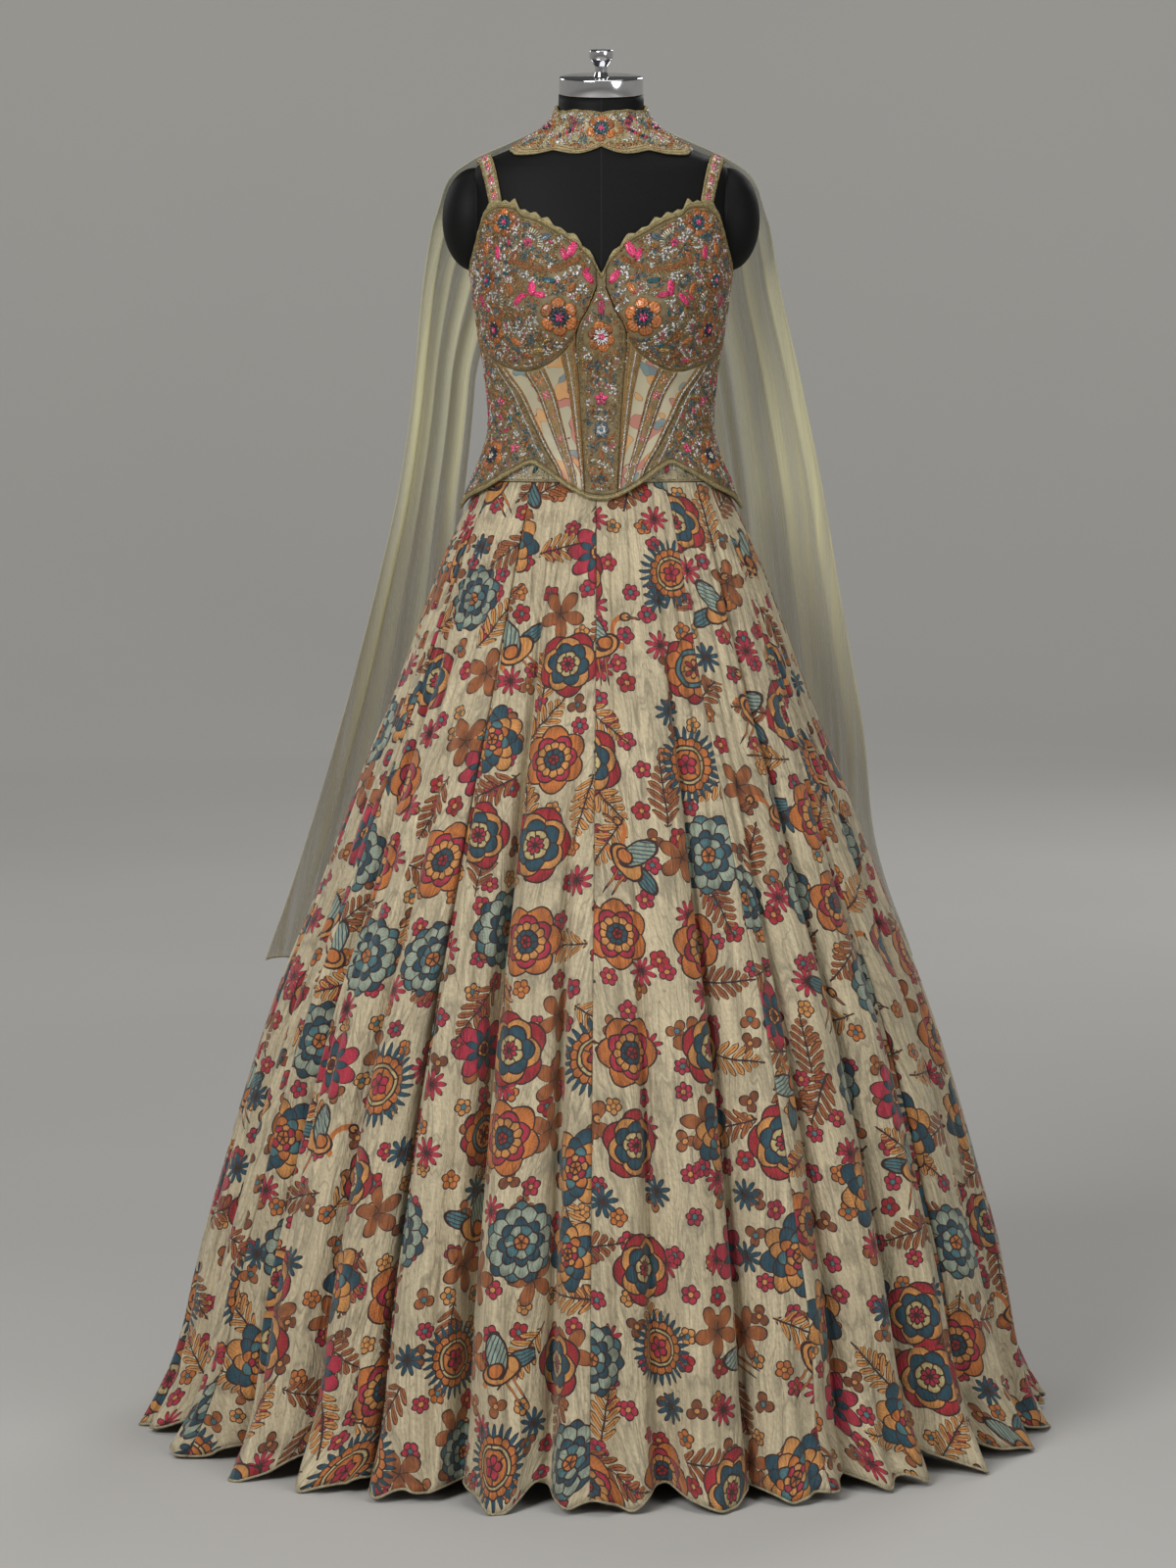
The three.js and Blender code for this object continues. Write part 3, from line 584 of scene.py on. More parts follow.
class Finish:
    """A material and its nodes."""

    def __init__(self, name):
        self.material = bpy.data.materials.new(name)
        self.material.use_nodes = True
        self.tree = self.material.node_tree
        self.shader = self.tree.nodes["Principled BSDF"]

    def node(self, kind, settings=None, values=None):
        node = self.tree.nodes.new(kind)
        for key, value in (settings or {}).items():
            if key == "stops":
                ramp = node.color_ramp
                while len(ramp.elements) < len(value):
                    ramp.elements.new(0.5)
                for element, (position, color) in zip(ramp.elements, value):
                    element.position = position
                    element.color = (*color, 1) if len(color) == 3 else color
            elif key == "interpolation":
                node.color_ramp.interpolation = value
            else:
                setattr(node, key, value)
        for key, value in (values or {}).items():
            if isinstance(value, Number):
                value = value.socket
            if isinstance(value, bpy.types.NodeSocket):
                self.tree.links.new(value, node.inputs[key])
            else:
                node.inputs[key].default_value = value
        return node

    def number(self, socket):
        return Number(self, socket)

    def split(self, vector):
        node = self.node("ShaderNodeSeparateXYZ", None, {0: vector})
        return [self.number(node.outputs[k]) for k in range(3)]

    def join(self, x, y=0.0, z=0.0):
        return self.node("ShaderNodeCombineXYZ", None, {0: x, 1: y, 2: z}).outputs[0]

    def mix(self, factor, under, over):
        """Colour under, covered by colour over where the factor is 1."""
        settings = {"data_type": "RGBA"}
        values = {0: factor, 6: color4(under), 7: color4(over)}
        return self.node("ShaderNodeMix", settings, values).outputs[2]

    def blend(self, kind, factor, under, over):
        settings = {"data_type": "RGBA", "blend_type": kind}
        values = {0: factor, 6: color4(under), 7: color4(over)}
        return self.node("ShaderNodeMix", settings, values).outputs[2]

    def noise(self, vector, scale, detail=2.0, roughness=0.5):
        values = {"Vector": vector, "Scale": scale, "Detail": detail, "Roughness": roughness}
        return self.number(self.node("ShaderNodeTexNoise", None, values).outputs[0])

    def ramp(self, factor, *stops, interpolation="LINEAR"):
        settings = {"stops": stops, "interpolation": interpolation}
        return self.node("ShaderNodeValToRGB", settings, {0: factor}).outputs[0]

    def choose(self, pick, colors):
        """One colour of a row, by a number from 0 to 1."""
        stops = [(k / len(colors), color) for k, color in enumerate(colors)]
        return self.ramp(pick, *stops, interpolation="CONSTANT")

    def choose_number(self, pick, numbers):
        return self.number(self.choose(pick, [(n, n, n) for n in numbers]))

    def greys(self, factor, *stops):
        """A ramp of greys, each stop a position and its grey."""
        return self.ramp(factor, *((at, (grey,) * 3) for at, grey in stops))

    def level(self, factor, *stops):
        return self.number(self.greys(factor, *stops))

    def vector(self, operation, first, second):
        settings = {"operation": operation}
        return self.node("ShaderNodeVectorMath", settings, {0: first, 1: second}).outputs[0]

    def cloth(self):
        """The place on the flat cloth, in metres."""
        return self.node("ShaderNodeUVMap", {"uv_map": "cloth"}).outputs[0]

    def place(self):
        """The place on the piece, in metres."""
        return self.node("ShaderNodeTexCoord").outputs["Object"]

    def set(self, **sockets):
        for name, value in sockets.items():
            socket = self.shader.inputs[name.replace("_", " ")]
            if isinstance(value, Number):
                value = value.socket
            if isinstance(value, bpy.types.NodeSocket):
                self.tree.links.new(value, socket)
            else:
                socket.default_value = value

    def bump(self, height, strength, distance, below=None):
        values = {"Height": height, "Strength": strength, "Distance": distance}
        if below is not None:
            values["Normal"] = below
        return self.node("ShaderNodeBump", None, values).outputs[0]


def color4(color):
    if isinstance(color, (tuple, list)) and len(color) == 3:
        return (*color, 1)
    return color


# Colours of the print
GROUND = (0.52, 0.435, 0.28)
OUTLINE = (0.034, 0.008, 0.005)
RED = (0.36, 0.011, 0.018)
CRIMSON = (0.41, 0.018, 0.045)
ORANGE = (0.50, 0.148, 0.026)
AMBER = (0.57, 0.25, 0.065)
TEAL = (0.012, 0.060, 0.088)
SEA = (0.06, 0.16, 0.175)
CREAM = (0.48, 0.38, 0.17)
MIST = (0.29, 0.34, 0.26)
BROWN = (0.20, 0.056, 0.015)
RUST = (0.32, 0.095, 0.022)

# Rings of the big flowers, outermost first. Each row gives, for the eight picks in turn, the
# ring's radius in millimetres, its petals, how deep they are notched and its two colours.
BIG_RINGS = [
    {
        "radius": (45, 44, 47, 47, 42, 44, 43, 46),
        "petals": (5, 6, 8, 26, 8, 7, 8, 11),
        "notch": (0.20, 0.20, 0.26, 0.46, 0.34, 0.2, 0.18, 0.16),
        "odd": (RED, ORANGE, TEAL, TEAL, CRIMSON, SEA, RED, TEAL),
        "even": (RED, ORANGE, AMBER, TEAL, CRIMSON, AMBER, RED, SEA),
    },
    {
        "radius": (38, 32, 36, 34, 27, 35, 38, 41),
        "petals": (5, 6, 8, 16, 8, 7, 8, 11),
        "notch": (0.22, 0.22, 0.26, 0.10, 0.66, 0.2, 0.18, 0.15),
        "odd": (AMBER, CRIMSON, AMBER, ORANGE, TEAL, CREAM, ORANGE, MIST),
        "even": (AMBER, CRIMSON, TEAL, ORANGE, TEAL, RED, ORANGE, MIST),
    },
    {
        "radius": (30, 24, 26, 24, 11, 25, 24, 28),
        "petals": (6, 12, 8, 3, 6, 6, 3, 8),
        "notch": (0.2, 0.12, 0.24, 0, 0.1, 0.2, 0, 0.22),
        "odd": (TEAL, AMBER, SEA, CREAM, AMBER, ORANGE, SEA, TEAL),
        "even": (TEAL, AMBER, ORANGE, CREAM, AMBER, ORANGE, SEA, TEAL),
    },
    {
        "radius": (18, 14, 16, 19, 6, 15, 18, 20),
        "petals": (6, 8, 8, 3, 3, 6, 3, 7),
        "notch": (0.10, 0.1, 0.14, 0, 0, 0.12, 0, 0.14),
        "odd": (CREAM, TEAL, CRIMSON, ORANGE, RED, TEAL, AMBER, MIST),
        "even": (CREAM, TEAL, AMBER, ORANGE, RED, TEAL, AMBER, SEA),
    },
    {
        "radius": (11, 7, 8, 13, 3, 8, 12, 9),
        "petals": (8, 5, 5, 5, 5, 5, 8, 5),
        "notch": (0.30, 0.1, 0.1, 0.34, 0, 0.24, 0.35, 0.1),
        "odd": (CRIMSON, RED, ORANGE, CRIMSON, AMBER, CRIMSON, RED, ORANGE),
        "even": (CRIMSON, RED, ORANGE, CRIMSON, AMBER, CRIMSON, AMBER, ORANGE),
    },
]
BIRD_FROM, BIRD_TO = 0.62, 0.84  # the picks whose flower gives way to a bird

# Mean spaces of the print's motifs in millimetres, and how far its blocks drift in metres
SMALL_SPACING = 43.0
LEAF_SPACING = 78.0
BIG_SPACING = 117.0
BLOCK_DRIFT = 0.0045


class Motif:
    """The middle of the nearest cell of a scattered print, in millimetres from there."""

    def __init__(self, finish, cloth, spacing, scatter, seed):
        self.finish = finish
        shifted = finish.vector("ADD", cloth, (seed * 0.37, seed * 0.61, 0))
        settings = {"voronoi_dimensions": "2D", "feature": "F1"}
        cell = finish.node(
            "ShaderNodeTexVoronoi",
            settings,
            {"Vector": shifted, "Scale": 1000.0 / spacing, "Randomness": scatter},
        )
        away = finish.vector("SUBTRACT", shifted, cell.outputs["Position"])
        picks = finish.node("ShaderNodeSeparateColor", None, {0: cell.outputs["Color"]})
        self.pick = finish.number(picks.outputs[0])
        self.turn = finish.number(picks.outputs[1])
        self.other = finish.number(picks.outputs[2])
        x, y, _ = finish.split(away)
        self.x, self.y = x * 1000.0, y * 1000.0
        self.angle = self.y.math("ARCTAN2", self.x) + self.turn * 6.283
        self.reach = (self.x * self.x + self.y * self.y) ** 0.5

    def turned(self, spread):
        """Local x and y, turned by the cell's own angle within a spread in radians."""
        angle = (self.other - 0.5) * spread
        c, s = angle.cos(), angle.sin()
        return self.x * c - self.y * s, self.x * s + self.y * c


def paint_ring(f, under, motif, radius, petals, notch, odd, even, line=1.1, stagger=0.0):
    """One ring of petals with its dark outline, over what lies under it."""
    half_turn = motif.angle * petals * 0.5 + stagger
    lobe = half_turn.cos().abs()
    edge = ((lobe - 1.0) * notch + 1.0) * radius
    inside = motif.reach < edge
    color = odd
    if even is not odd:
        swap = (half_turn * (1 / math.tau) + 0.25).fract() > 0.5
        color = f.mix(swap, odd, even)
    brush = (motif.angle * 61.0 + motif.reach * 0.35).sin() * 0.07 + (1.0 - lobe) * 0.28
    depth = f.greys(motif.reach / edge - brush, (0.0, 0.45), (0.7, 1.12), (1.0, 0.66))
    color = f.blend("MULTIPLY", 1.0, color, depth)
    painted = f.mix(inside, under, color)
    rim = (motif.reach - edge).abs() < line
    parting = (lobe * motif.reach * 2.0 / petals).abs() < line * 0.7
    lines = rim.max(parting * inside)
    return f.mix(lines, painted, OUTLINE)


def paint_big_flowers(f, under, motif):
    color = under
    for number, ring in enumerate(BIG_RINGS):
        radius = f.choose_number(motif.pick, [r / 50 for r in ring["radius"]]) * 50.0
        radius = radius * (motif.other * 0.16 + 0.88)
        petals = f.choose_number(motif.pick, [n / 32 for n in ring["petals"]]) * 32.0
        petals = petals.math("ROUND")
        notch = f.choose_number(motif.pick, ring["notch"])
        odd = f.choose(motif.pick, ring["odd"])
        even = f.choose(motif.pick, ring["even"])
        stagger = math.pi / 2 * (number % 2)
        color = paint_ring(f, color, motif, radius, petals, notch, odd, even, stagger=stagger)
    return color


def ellipse(x, y, cx, cy, rx, ry, tilt):
    """How far a point is from an ellipse's middle, 1 on its edge."""
    c, s = math.cos(tilt), math.sin(tilt)
    dx, dy = x - cx, y - cy
    along = (dx * c + dy * s) * (1 / rx)
    across = (dy * c - dx * s) * (1 / ry)
    return (along * along + across * across) ** 0.5


def paint_shape(f, under, reach, size, color, line=1.0):
    """A filled shape with a dark outline. reach is 1 on its edge, and size its least radius."""
    painted = f.mix(reach < 1.0, under, color)
    return f.mix((reach - 1.0).abs() < line / size, painted, OUTLINE)


def paint_bird(f, under, motif):
    """A plain wading bird with barred wings, in the cells that have no flower."""
    x, y = motif.turned(2.2)
    flip = (motif.turn > 0.5) * 2.0 - 1.0
    x, y = x * flip * 0.88 + 1.5, y * 0.88 - 1.0
    bars = ((x * 0.5 + y * 0.85) * 0.24).fract() > 0.3
    feathers = f.mix(bars, TEAL, MIST)
    fan = ((y * 0.9 - x * 0.35) * 0.28).fract() > 0.28
    tail = f.mix(fan, OUTLINE, SEA)
    color = under
    for foot in (-3, 5):
        color = paint_shape(f, color, ellipse(x, y, foot, -22, 1.1, 17, 0.12), 1.1, ORANGE, 0.3)
    color = paint_shape(f, color, ellipse(x, y, -25, -5, 17, 8, 0.35), 8, tail)
    neck = ellipse(x, y, 27, 17, 13, 16, 0)
    curve = ((neck - 1.0).abs() < 0.2) * (x < 27.0)
    color = f.mix(curve, color, ORANGE)
    color = paint_shape(f, color, ellipse(x, y, 0, 0, 22, 12, 0.35), 12, AMBER)
    color = paint_shape(f, color, ellipse(x, y, -6, 15, 11, 22, 0.5), 11, feathers)
    color = paint_shape(f, color, ellipse(x, y, 5, 4, 9, 7, 0.2), 7, ORANGE)
    color = paint_shape(f, color, ellipse(x, y, 29, 33, 5, 4, 0), 4, AMBER)
    color = paint_shape(f, color, ellipse(x, y, 38, 32, 7, 1.5, -0.1), 1.5, BROWN, 0.3)
    chosen = (motif.pick > BIRD_FROM) * (motif.pick < BIRD_TO)
    return f.mix(chosen, under, color), chosen


def paint_leaves(f, under, motif):
    """Fern sprays, leafy clusters and starbursts, by the cell's pick."""
    x, y = motif.turned(6.283)
    side = y.abs()
    spray = (x * -0.00058 * x + 1.0).max(0.0) * 20.0
    leaflets = ((x - side * 0.8) * 0.085).fract()
    along = (side / spray.max(1.0)).min(1.0)
    width = ((along * (1.0 - along)).max(0.0) * 4.0) ** 0.6 * 0.40
    leaf = ((leaflets - 0.36).abs() < width) * (side < spray) * (x.abs() < 41.0)
    vein = ((leaflets - 0.36).abs() < 0.045) * (side < spray * 0.8)
    edge = (((leaflets - 0.36).abs() - width).abs() < 0.065) * (side < spray + 0.6) * (x.abs() < 41.5)
    stem = (side < 1.1) * (x.abs() < 47.0)
    fern = f.mix(leaf, under, f.mix(motif.pick > 0.3, RUST, AMBER))
    fern = f.mix(edge.max(vein).max(stem), fern, OUTLINE)
    petals = f.choose_number(motif.pick, [5 / 32] * 5 + [9 / 32] * 3) * 32.0
    radius = f.choose_number(motif.pick, [0.62] * 5 + [0.36] * 3) * 50.0
    notch = f.choose_number(motif.pick, [0.7] * 5 + [0.66] * 3)
    outer = f.choose(motif.pick, [BROWN, RUST, AMBER, BROWN, RUST, CRIMSON, TEAL, CRIMSON])
    cluster = paint_ring(f, under, motif, radius, petals.math("ROUND"), notch, outer, outer, 0.95)
    return f.mix(motif.pick < 0.5, cluster, fern)


def paint_small_flowers(f, under, motif):
    """Little five-petalled flowers and three-leaved sprigs."""
    outer = f.choose(motif.pick, [CRIMSON, ORANGE, RED, AMBER, CRIMSON, BROWN, RUST, CRIMSON])
    radius = f.choose_number(motif.pick, [0.23, 0.22, 0.24, 0.2, 0.22, 0.26, 0.26, 0.21]) * 50.0
    petals = f.choose_number(motif.pick, [5 / 32] * 5 + [3 / 32] * 2 + [6 / 32]) * 32.0
    notch = f.choose_number(motif.pick, [0.28] * 5 + [0.62] * 2 + [0.28])
    color = paint_ring(f, under, motif, radius, petals.math("ROUND"), notch, outer, outer, 0.8)
    color = f.mix(motif.reach < 3.6, color, OUTLINE)
    return f.mix(motif.reach < 2.7, color, f.mix(motif.other > 0.5, SEA, AMBER))


def painted_crease_lines(f, u, v):
    """Fine creases that run down crushed silk, each broken now and then: the lines where painted shade
    darkens the colour.
    """
    wander = f.noise(f.join(u * 30.0, v * 6.0), 1.0, 2.0, 0.5)
    line = f.noise(f.join(u * 80.0 + wander * 10.0, v * 9.0), 1.0, 1.5, 0.4)
    return (line - 0.5).abs() * 1.6 + 0.42


def printed_silk(name, ground, shade_depth):
    """Crushed silk with a block-style flower print on its own cloth coordinates, with painted sheen along its
    streaks and painted shade in its creases.
    """
    f = Finish(name)
    cloth = f.cloth()
    warp = f.node("ShaderNodeTexNoise", None, {"Vector": cloth, "Scale": 55.0, "Detail": 2.0})
    drift = f.vector("SUBTRACT", warp.outputs[1], (0.5, 0.5, 0.5))
    drift = f.node("ShaderNodeVectorMath", {"operation": "SCALE"}, {0: drift, "Scale": BLOCK_DRIFT})
    hand = f.vector("ADD", cloth, drift.outputs[0])
    u, v, _ = f.split(cloth)
    streak = f.noise(f.join(u * 190.0, v * 9.0), 1.0, 4.0, 0.62)
    slub = f.noise(f.join(u * 60.0, v * 420.0), 1.0, 2.0, 0.5)
    patch = f.noise(cloth, 11.0, 2.0, 0.5)
    crinkle = f.noise(f.join((u + v * 0.45) * 330.0, (v - u * 0.45) * 70.0), 1.0, 3.0, 0.62)
    wash = f.noise(cloth, 240.0, 2.0, 0.5)
    # The ground's colour: tone that varies at random in patches, with painted sheen and shade along the
    # streaks and crinkles.
    color = f.ramp(
        streak * 0.3 + patch * 0.3 + crinkle * 0.4,
        (0.32, tuple(c * 0.74 for c in ground)),
        (0.50, ground),
        (0.68, tuple(min(1, c * 1.28) for c in ground)),
    )
    small = Motif(f, hand, SMALL_SPACING, 0.7, 3)
    leaves = Motif(f, hand, LEAF_SPACING, 0.5, 7)
    big = Motif(f, hand, BIG_SPACING, 0.4, 1)
    color = paint_small_flowers(f, color, small)
    color = paint_leaves(f, color, leaves)
    plain = color
    flowers = paint_big_flowers(f, plain, big)
    birds, chosen = paint_bird(f, plain, big)
    color = f.mix(chosen, flowers, birds)
    washed = f.greys(wash, (0.34, 0.78), (0.5, 1.0), (0.66, 1.12))
    color = f.blend("MULTIPLY", 0.5, color, washed)
    # Painted shade: the colour darkens along the fine creases.
    painted_crease_shade = f.level(painted_crease_lines(f, u, v), (0.43, 0.42), (0.50, 1.0))
    # Painted sheen and shade: the colour lightens and darkens along the long streaks, and takes in the
    # painted crease shade.
    painted_sheen_and_shade = f.greys(streak, (0.3, 0.8), (0.62, 1.08), (0.8, 1.28))
    painted_sheen_and_shade = f.blend("MULTIPLY", 0.65, painted_sheen_and_shade, f.join(painted_crease_shade, painted_crease_shade, painted_crease_shade))
    color = f.blend("MULTIPLY", shade_depth, color, painted_sheen_and_shade)
    weave = (u * 4200.0).sin() * (v * 4200.0).sin()
    crush = f.noise(f.join(u * 120.0, v * 10.0), 1.0, 4.0, 0.65)
    relief = crush * 0.8 + crinkle * 0.38 + slub * 0.1 + weave * 0.03 + streak * 0.2
    f.set(Base_Color=color, Roughness=f.level(crinkle, (0.3, 0.58), (0.7, 0.36)))
    f.set(Normal=f.bump(relief, 0.95, 0.005))
    f.set(Sheen_Weight=0.25, Sheen_Roughness=0.4)
    f.shader.inputs["Sheen Tint"].default_value = (1.0, 0.95, 0.8, 1)
    return f.material


def embroidered_cloth(name, ground):
    """The stitched ground that shows between the beads."""
    f = Finish(name)
    cloth = f.cloth()
    u, v, _ = f.split(cloth)
    mottle = f.noise(cloth, 90.0, 3.0, 0.6)
    color = f.ramp(
        mottle,
        (0.32, tuple(c * 0.6 for c in ground)),
        (0.52, ground),
        (0.72, tuple(min(1, c * 1.35) for c in ground)),
    )
    thread = (u * 5200.0 + v * 1800.0).sin()
    knots = f.node("ShaderNodeTexVoronoi", None, {"Vector": cloth, "Scale": 620.0}).outputs[0]
    relief = f.number(knots) * 0.8 + thread * 0.12
    f.set(Base_Color=color, Roughness=f.level(mottle, (0.3, 0.7), (0.7, 0.45)))
    f.set(Normal=f.bump(relief, 0.7, 0.0008))
    return f.material


def bound_edge(name, color):
    f = Finish(name)
    cloth = f.cloth()
    u, v, _ = f.split(cloth)
    twist = (u * 2600.0 + v * 900.0).sin()
    tone = f.noise(cloth, 160.0, 2.0, 0.5)
    dark, pale = tuple(c * 0.62 for c in color), tuple(c * 1.25 for c in color)
    shade = f.ramp(tone + twist * 0.12, (0.3, dark), (0.7, pale))
    f.set(Base_Color=shade, Roughness=f.level(tone, (0.3, 0.62), (0.7, 0.42)))
    f.set(Normal=f.bump(twist * 0.6 + tone * 0.5, 0.6, 0.0007))
    return f.material


def soft_net(name, color, cover):
    """Fine net: see-through, with denser streaks where its folds gather."""
    f = Finish(name)
    cloth = f.cloth()
    u, v, _ = f.split(cloth)
    streak = f.noise(f.join(u * 70.0, v * 2.2), 1.0, 3.0, 0.6)
    mesh = ((u * 3100.0).sin() * (v * 3100.0).sin()) * 0.5 + 0.5
    thin, thick = tuple(c * 0.82 for c in color), tuple(min(1, c * 1.15) for c in color)
    tint = f.ramp(streak, (0.3, thin), (0.7, thick))
    f.set(Base_Color=tint, Roughness=f.level(streak, (0.3, 0.8), (0.7, 0.6)))
    f.set(Alpha=(streak - 0.5) * 0.7 + mesh * 0.06 + cover)
    f.set(Normal=f.bump(streak, 0.35, 0.002))
    f.set(Sheen_Weight=0.2)
    return f.material


def bead_glass(name):
    """Beads, bugles and sequins, each in its own colour and with its own gloss, with a painted highlight in
    each stitch and painted shade between stitches.
    """
    f = Finish(name)
    tint = f.node("ShaderNodeAttribute", {"attribute_name": "bead"})
    place = f.place()
    speck = f.noise(place, 900.0, 1.0, 0.5)
    stitches = f.node("ShaderNodeTexVoronoi", None, {"Vector": place, "Scale": 640.0})
    stitch = f.number(stitches.outputs[0])
    color = f.blend("MULTIPLY", 0.5, tint.outputs["Color"], f.greys(speck, (0.3, 0.6), (0.7, 1.4)))
    # Painted highlight in the middle of each stitch and painted shade at its edges, multiplied into the
    # colour.
    relief = f.greys(stitch, (0.12, 1.5), (0.5, 0.85), (0.75, 0.4))
    color = f.blend("MULTIPLY", 0.9, color, relief)
    f.set(Base_Color=color)
    f.set(Normal=f.bump(stitch * -1.0 + 1.0, 0.9, 0.0009))
    f.set(Metallic=f.number(tint.outputs["Alpha"]) * 0.85)
    f.set(Roughness=f.level(speck, (0.3, 0.16), (0.7, 0.4)))
    f.set(Coat_Weight=0.7, Coat_Roughness=0.12)
    return f.material


def black_jersey(name):
    """The form's matt cover, with a sewn line down its front and round each arm cap."""
    f = Finish(name)
    place = f.place()
    x, _, z = f.split(place)
    weave = f.noise(place, 700.0, 2.0, 0.6)
    centre = x.abs() < 0.0008
    caps = ((x.abs() - 0.1475).abs() < 0.0008) * (z < 1.5)
    seam = centre.max(caps)
    color = f.mix(seam * 0.5, f.greys(weave, (0.3, 0.004), (0.7, 0.008)), (0.02, 0.02, 0.02))
    f.set(Base_Color=color, Roughness=f.level(weave, (0.3, 0.5), (0.7, 0.66)))
    f.set(Normal=f.bump(weave * 0.4 - seam * 1.2, 0.5, 0.0006))
    f.shader.inputs["Specular IOR Level"].default_value = 0.12
    return f.material


def polished_chrome(name):
    f = Finish(name)
    place = f.place()
    smear = f.noise(place, 30.0, 3.0, 0.6)
    scratch = f.noise(place, 480.0, 1.0, 0.5)
    f.set(Base_Color=f.ramp(smear, (0.3, (0.62, 0.62, 0.64)), (0.7, (0.72, 0.72, 0.74))), Metallic=1.0)
    f.set(Roughness=f.level(smear * 0.8 + scratch * 0.2, (0.35, 0.06), (0.7, 0.16)))
    f.set(Normal=f.bump(scratch, 0.05, 0.0002))
    return f.material


def painted_stand(name):
    f = Finish(name)
    place = f.place()
    grain = f.noise(place, 600.0, 2.0, 0.6)
    wear = f.noise(place, 14.0, 4.0, 0.6)
    f.set(Base_Color=f.greys(wear, (0.4, 0.012), (0.75, 0.03)), Metallic=0.3)
    f.set(Roughness=f.level(wear, (0.35, 0.3), (0.7, 0.5)))
    f.set(Normal=f.bump(grain, 0.15, 0.0003))
    return f.material


def studio_grey(name, color):
    """Pale backdrop paper, evenly lit beyond the reach of the lamps round the form."""
    f = Finish(name)
    place = f.place()
    cloud = f.noise(place, 0.7, 3.0, 0.5)
    f.set(Base_Color=f.ramp(cloud, (0.35, tuple(c * 0.96 for c in color)), (0.65, color)), Roughness=0.85)
    x, y, _ = f.split(place)
    away = (x * x + y * y) ** 0.5 / SWEEP_RADIUS
    glow = (0.170, 0.168, 0.159)
    stops = ((0.12, 0.0), (0.24, 0.12), (0.45, 0.42), (0.80, 1.0))
    f.set(Emission_Color=f.ramp(away, *((at, tuple(c * share for c in glow)) for at, share in stops)))
    f.set(Emission_Strength=1.0)
    f.material.cycles.emission_sampling = "NONE"
    f.shader.inputs["Specular IOR Level"].default_value = 0.2
    return f.material


# The skirt

def fold_growth(start, z):
    return np.maximum(0, (start - z) / start) ** 1.15


def folds_at(phi, z):
    """How far the folds draw the skirt in at one place, and how much of a groove it is."""
    depth = np.zeros(np.broadcast(phi, z).shape)
    groove = np.zeros_like(depth)
    for at, deep, wide, start in zip(*(FOLDS[k] for k in ("at", "depth", "wide", "start"))):
        away = np.mod(phi - at + 540, 360) - 180
        share = np.exp(-((away / wide) ** 2))
        depth += deep * fold_growth(start, z) * share
        groove = np.maximum(groove, share)
    return depth, groove


GATHERS = np.random.default_rng(11)
GATHER_COUNT = 96
GATHER_AT = np.arange(GATHER_COUNT) * 360 / GATHER_COUNT + GATHERS.uniform(-1.4, 1.4, GATHER_COUNT)
GATHER_DEEP = GATHERS.uniform(1.2, 5.2, GATHER_COUNT)
GATHER_WIDE = GATHERS.uniform(0.65, 1.2, GATHER_COUNT)
GATHER_FOOT = GATHERS.uniform(100, 900, GATHER_COUNT)
DRAPE_COUNT = 76
DRAPE_AT = np.arange(DRAPE_COUNT) * 360 / DRAPE_COUNT + GATHERS.uniform(-2.6, 2.6, DRAPE_COUNT)
DRAPE_DEEP = GATHERS.uniform(3, 18, DRAPE_COUNT)
DRAPE_WIDE = GATHERS.uniform(0.6, 1.7, DRAPE_COUNT)
DRAPE_START = GATHERS.uniform(250, 1090, DRAPE_COUNT)
DRAPE_LEAN = GATHERS.uniform(-1.8, 1.8, DRAPE_COUNT)


def gathers_at(phi, z):
    """Small pleats that start at the waistband and fade at their own heights."""
    depth = np.zeros(np.broadcast(phi, z).shape)
    for at, deep, wide, foot in zip(GATHER_AT, GATHER_DEEP, GATHER_WIDE, GATHER_FOOT):
        away = np.mod(phi - at + 540, 360) - 180
        reach = smooth(foot - 150, foot + 150, z) * smooth(SKIRT_TOP + 2, SKIRT_TOP - 70, z)
        depth += deep * reach * np.exp(-((away / wide) ** 2))
    return depth


def drapes_at(phi, z):
    """Softer drapes between the main folds, each leaning a little, and a sharp line in each fold."""
    depth = np.zeros(np.broadcast(phi, z).shape)
    for at, deep, wide, start, lean in zip(DRAPE_AT, DRAPE_DEEP, DRAPE_WIDE, DRAPE_START, DRAPE_LEAN):
        away = np.mod(phi - at - lean * z / 1000 + 540, 360) - 180
        depth += deep * fold_growth(start, z) ** 0.8 * np.exp(-((away / wide) ** 2))
    for at, deep, wide, start in zip(*(FOLDS[k] for k in ("at", "depth", "wide", "start"))):
        away = np.mod(phi - at + 540, 360) - 180
        line = np.minimum(1, fold_growth(start, z) * 2.6)
        depth += 0.65 * deep * line * np.exp(-((away / (0.26 * wide)) ** 2))
    return depth


def hem_lobes(phi):
    """From 0 between the hem's lobes to 1 on them, at uneven spaces."""
    turn = np.radians(phi)
    phase = 33 * turn + 2.2 * np.sin(3 * turn + 1) + 1.5 * np.sin(5 * turn + 2) + 1.1 * np.sin(8 * turn + 0.5)
    return 0.5 + 0.5 * np.cos(phase)


def hem_flutter(phi):
    """Smaller uneven waves along the very edge, from -1 to 1."""
    turn = np.radians(phi)
    return np.sin(51 * turn + 2.4 * np.sin(4 * turn + 0.3) + 1.6 * np.sin(7 * turn + 1.9))


def lobe_size(phi):
    turn = np.radians(phi)
    return 0.65 + 0.35 * np.sin(5 * turn + 0.8) * np.cos(11 * turn)


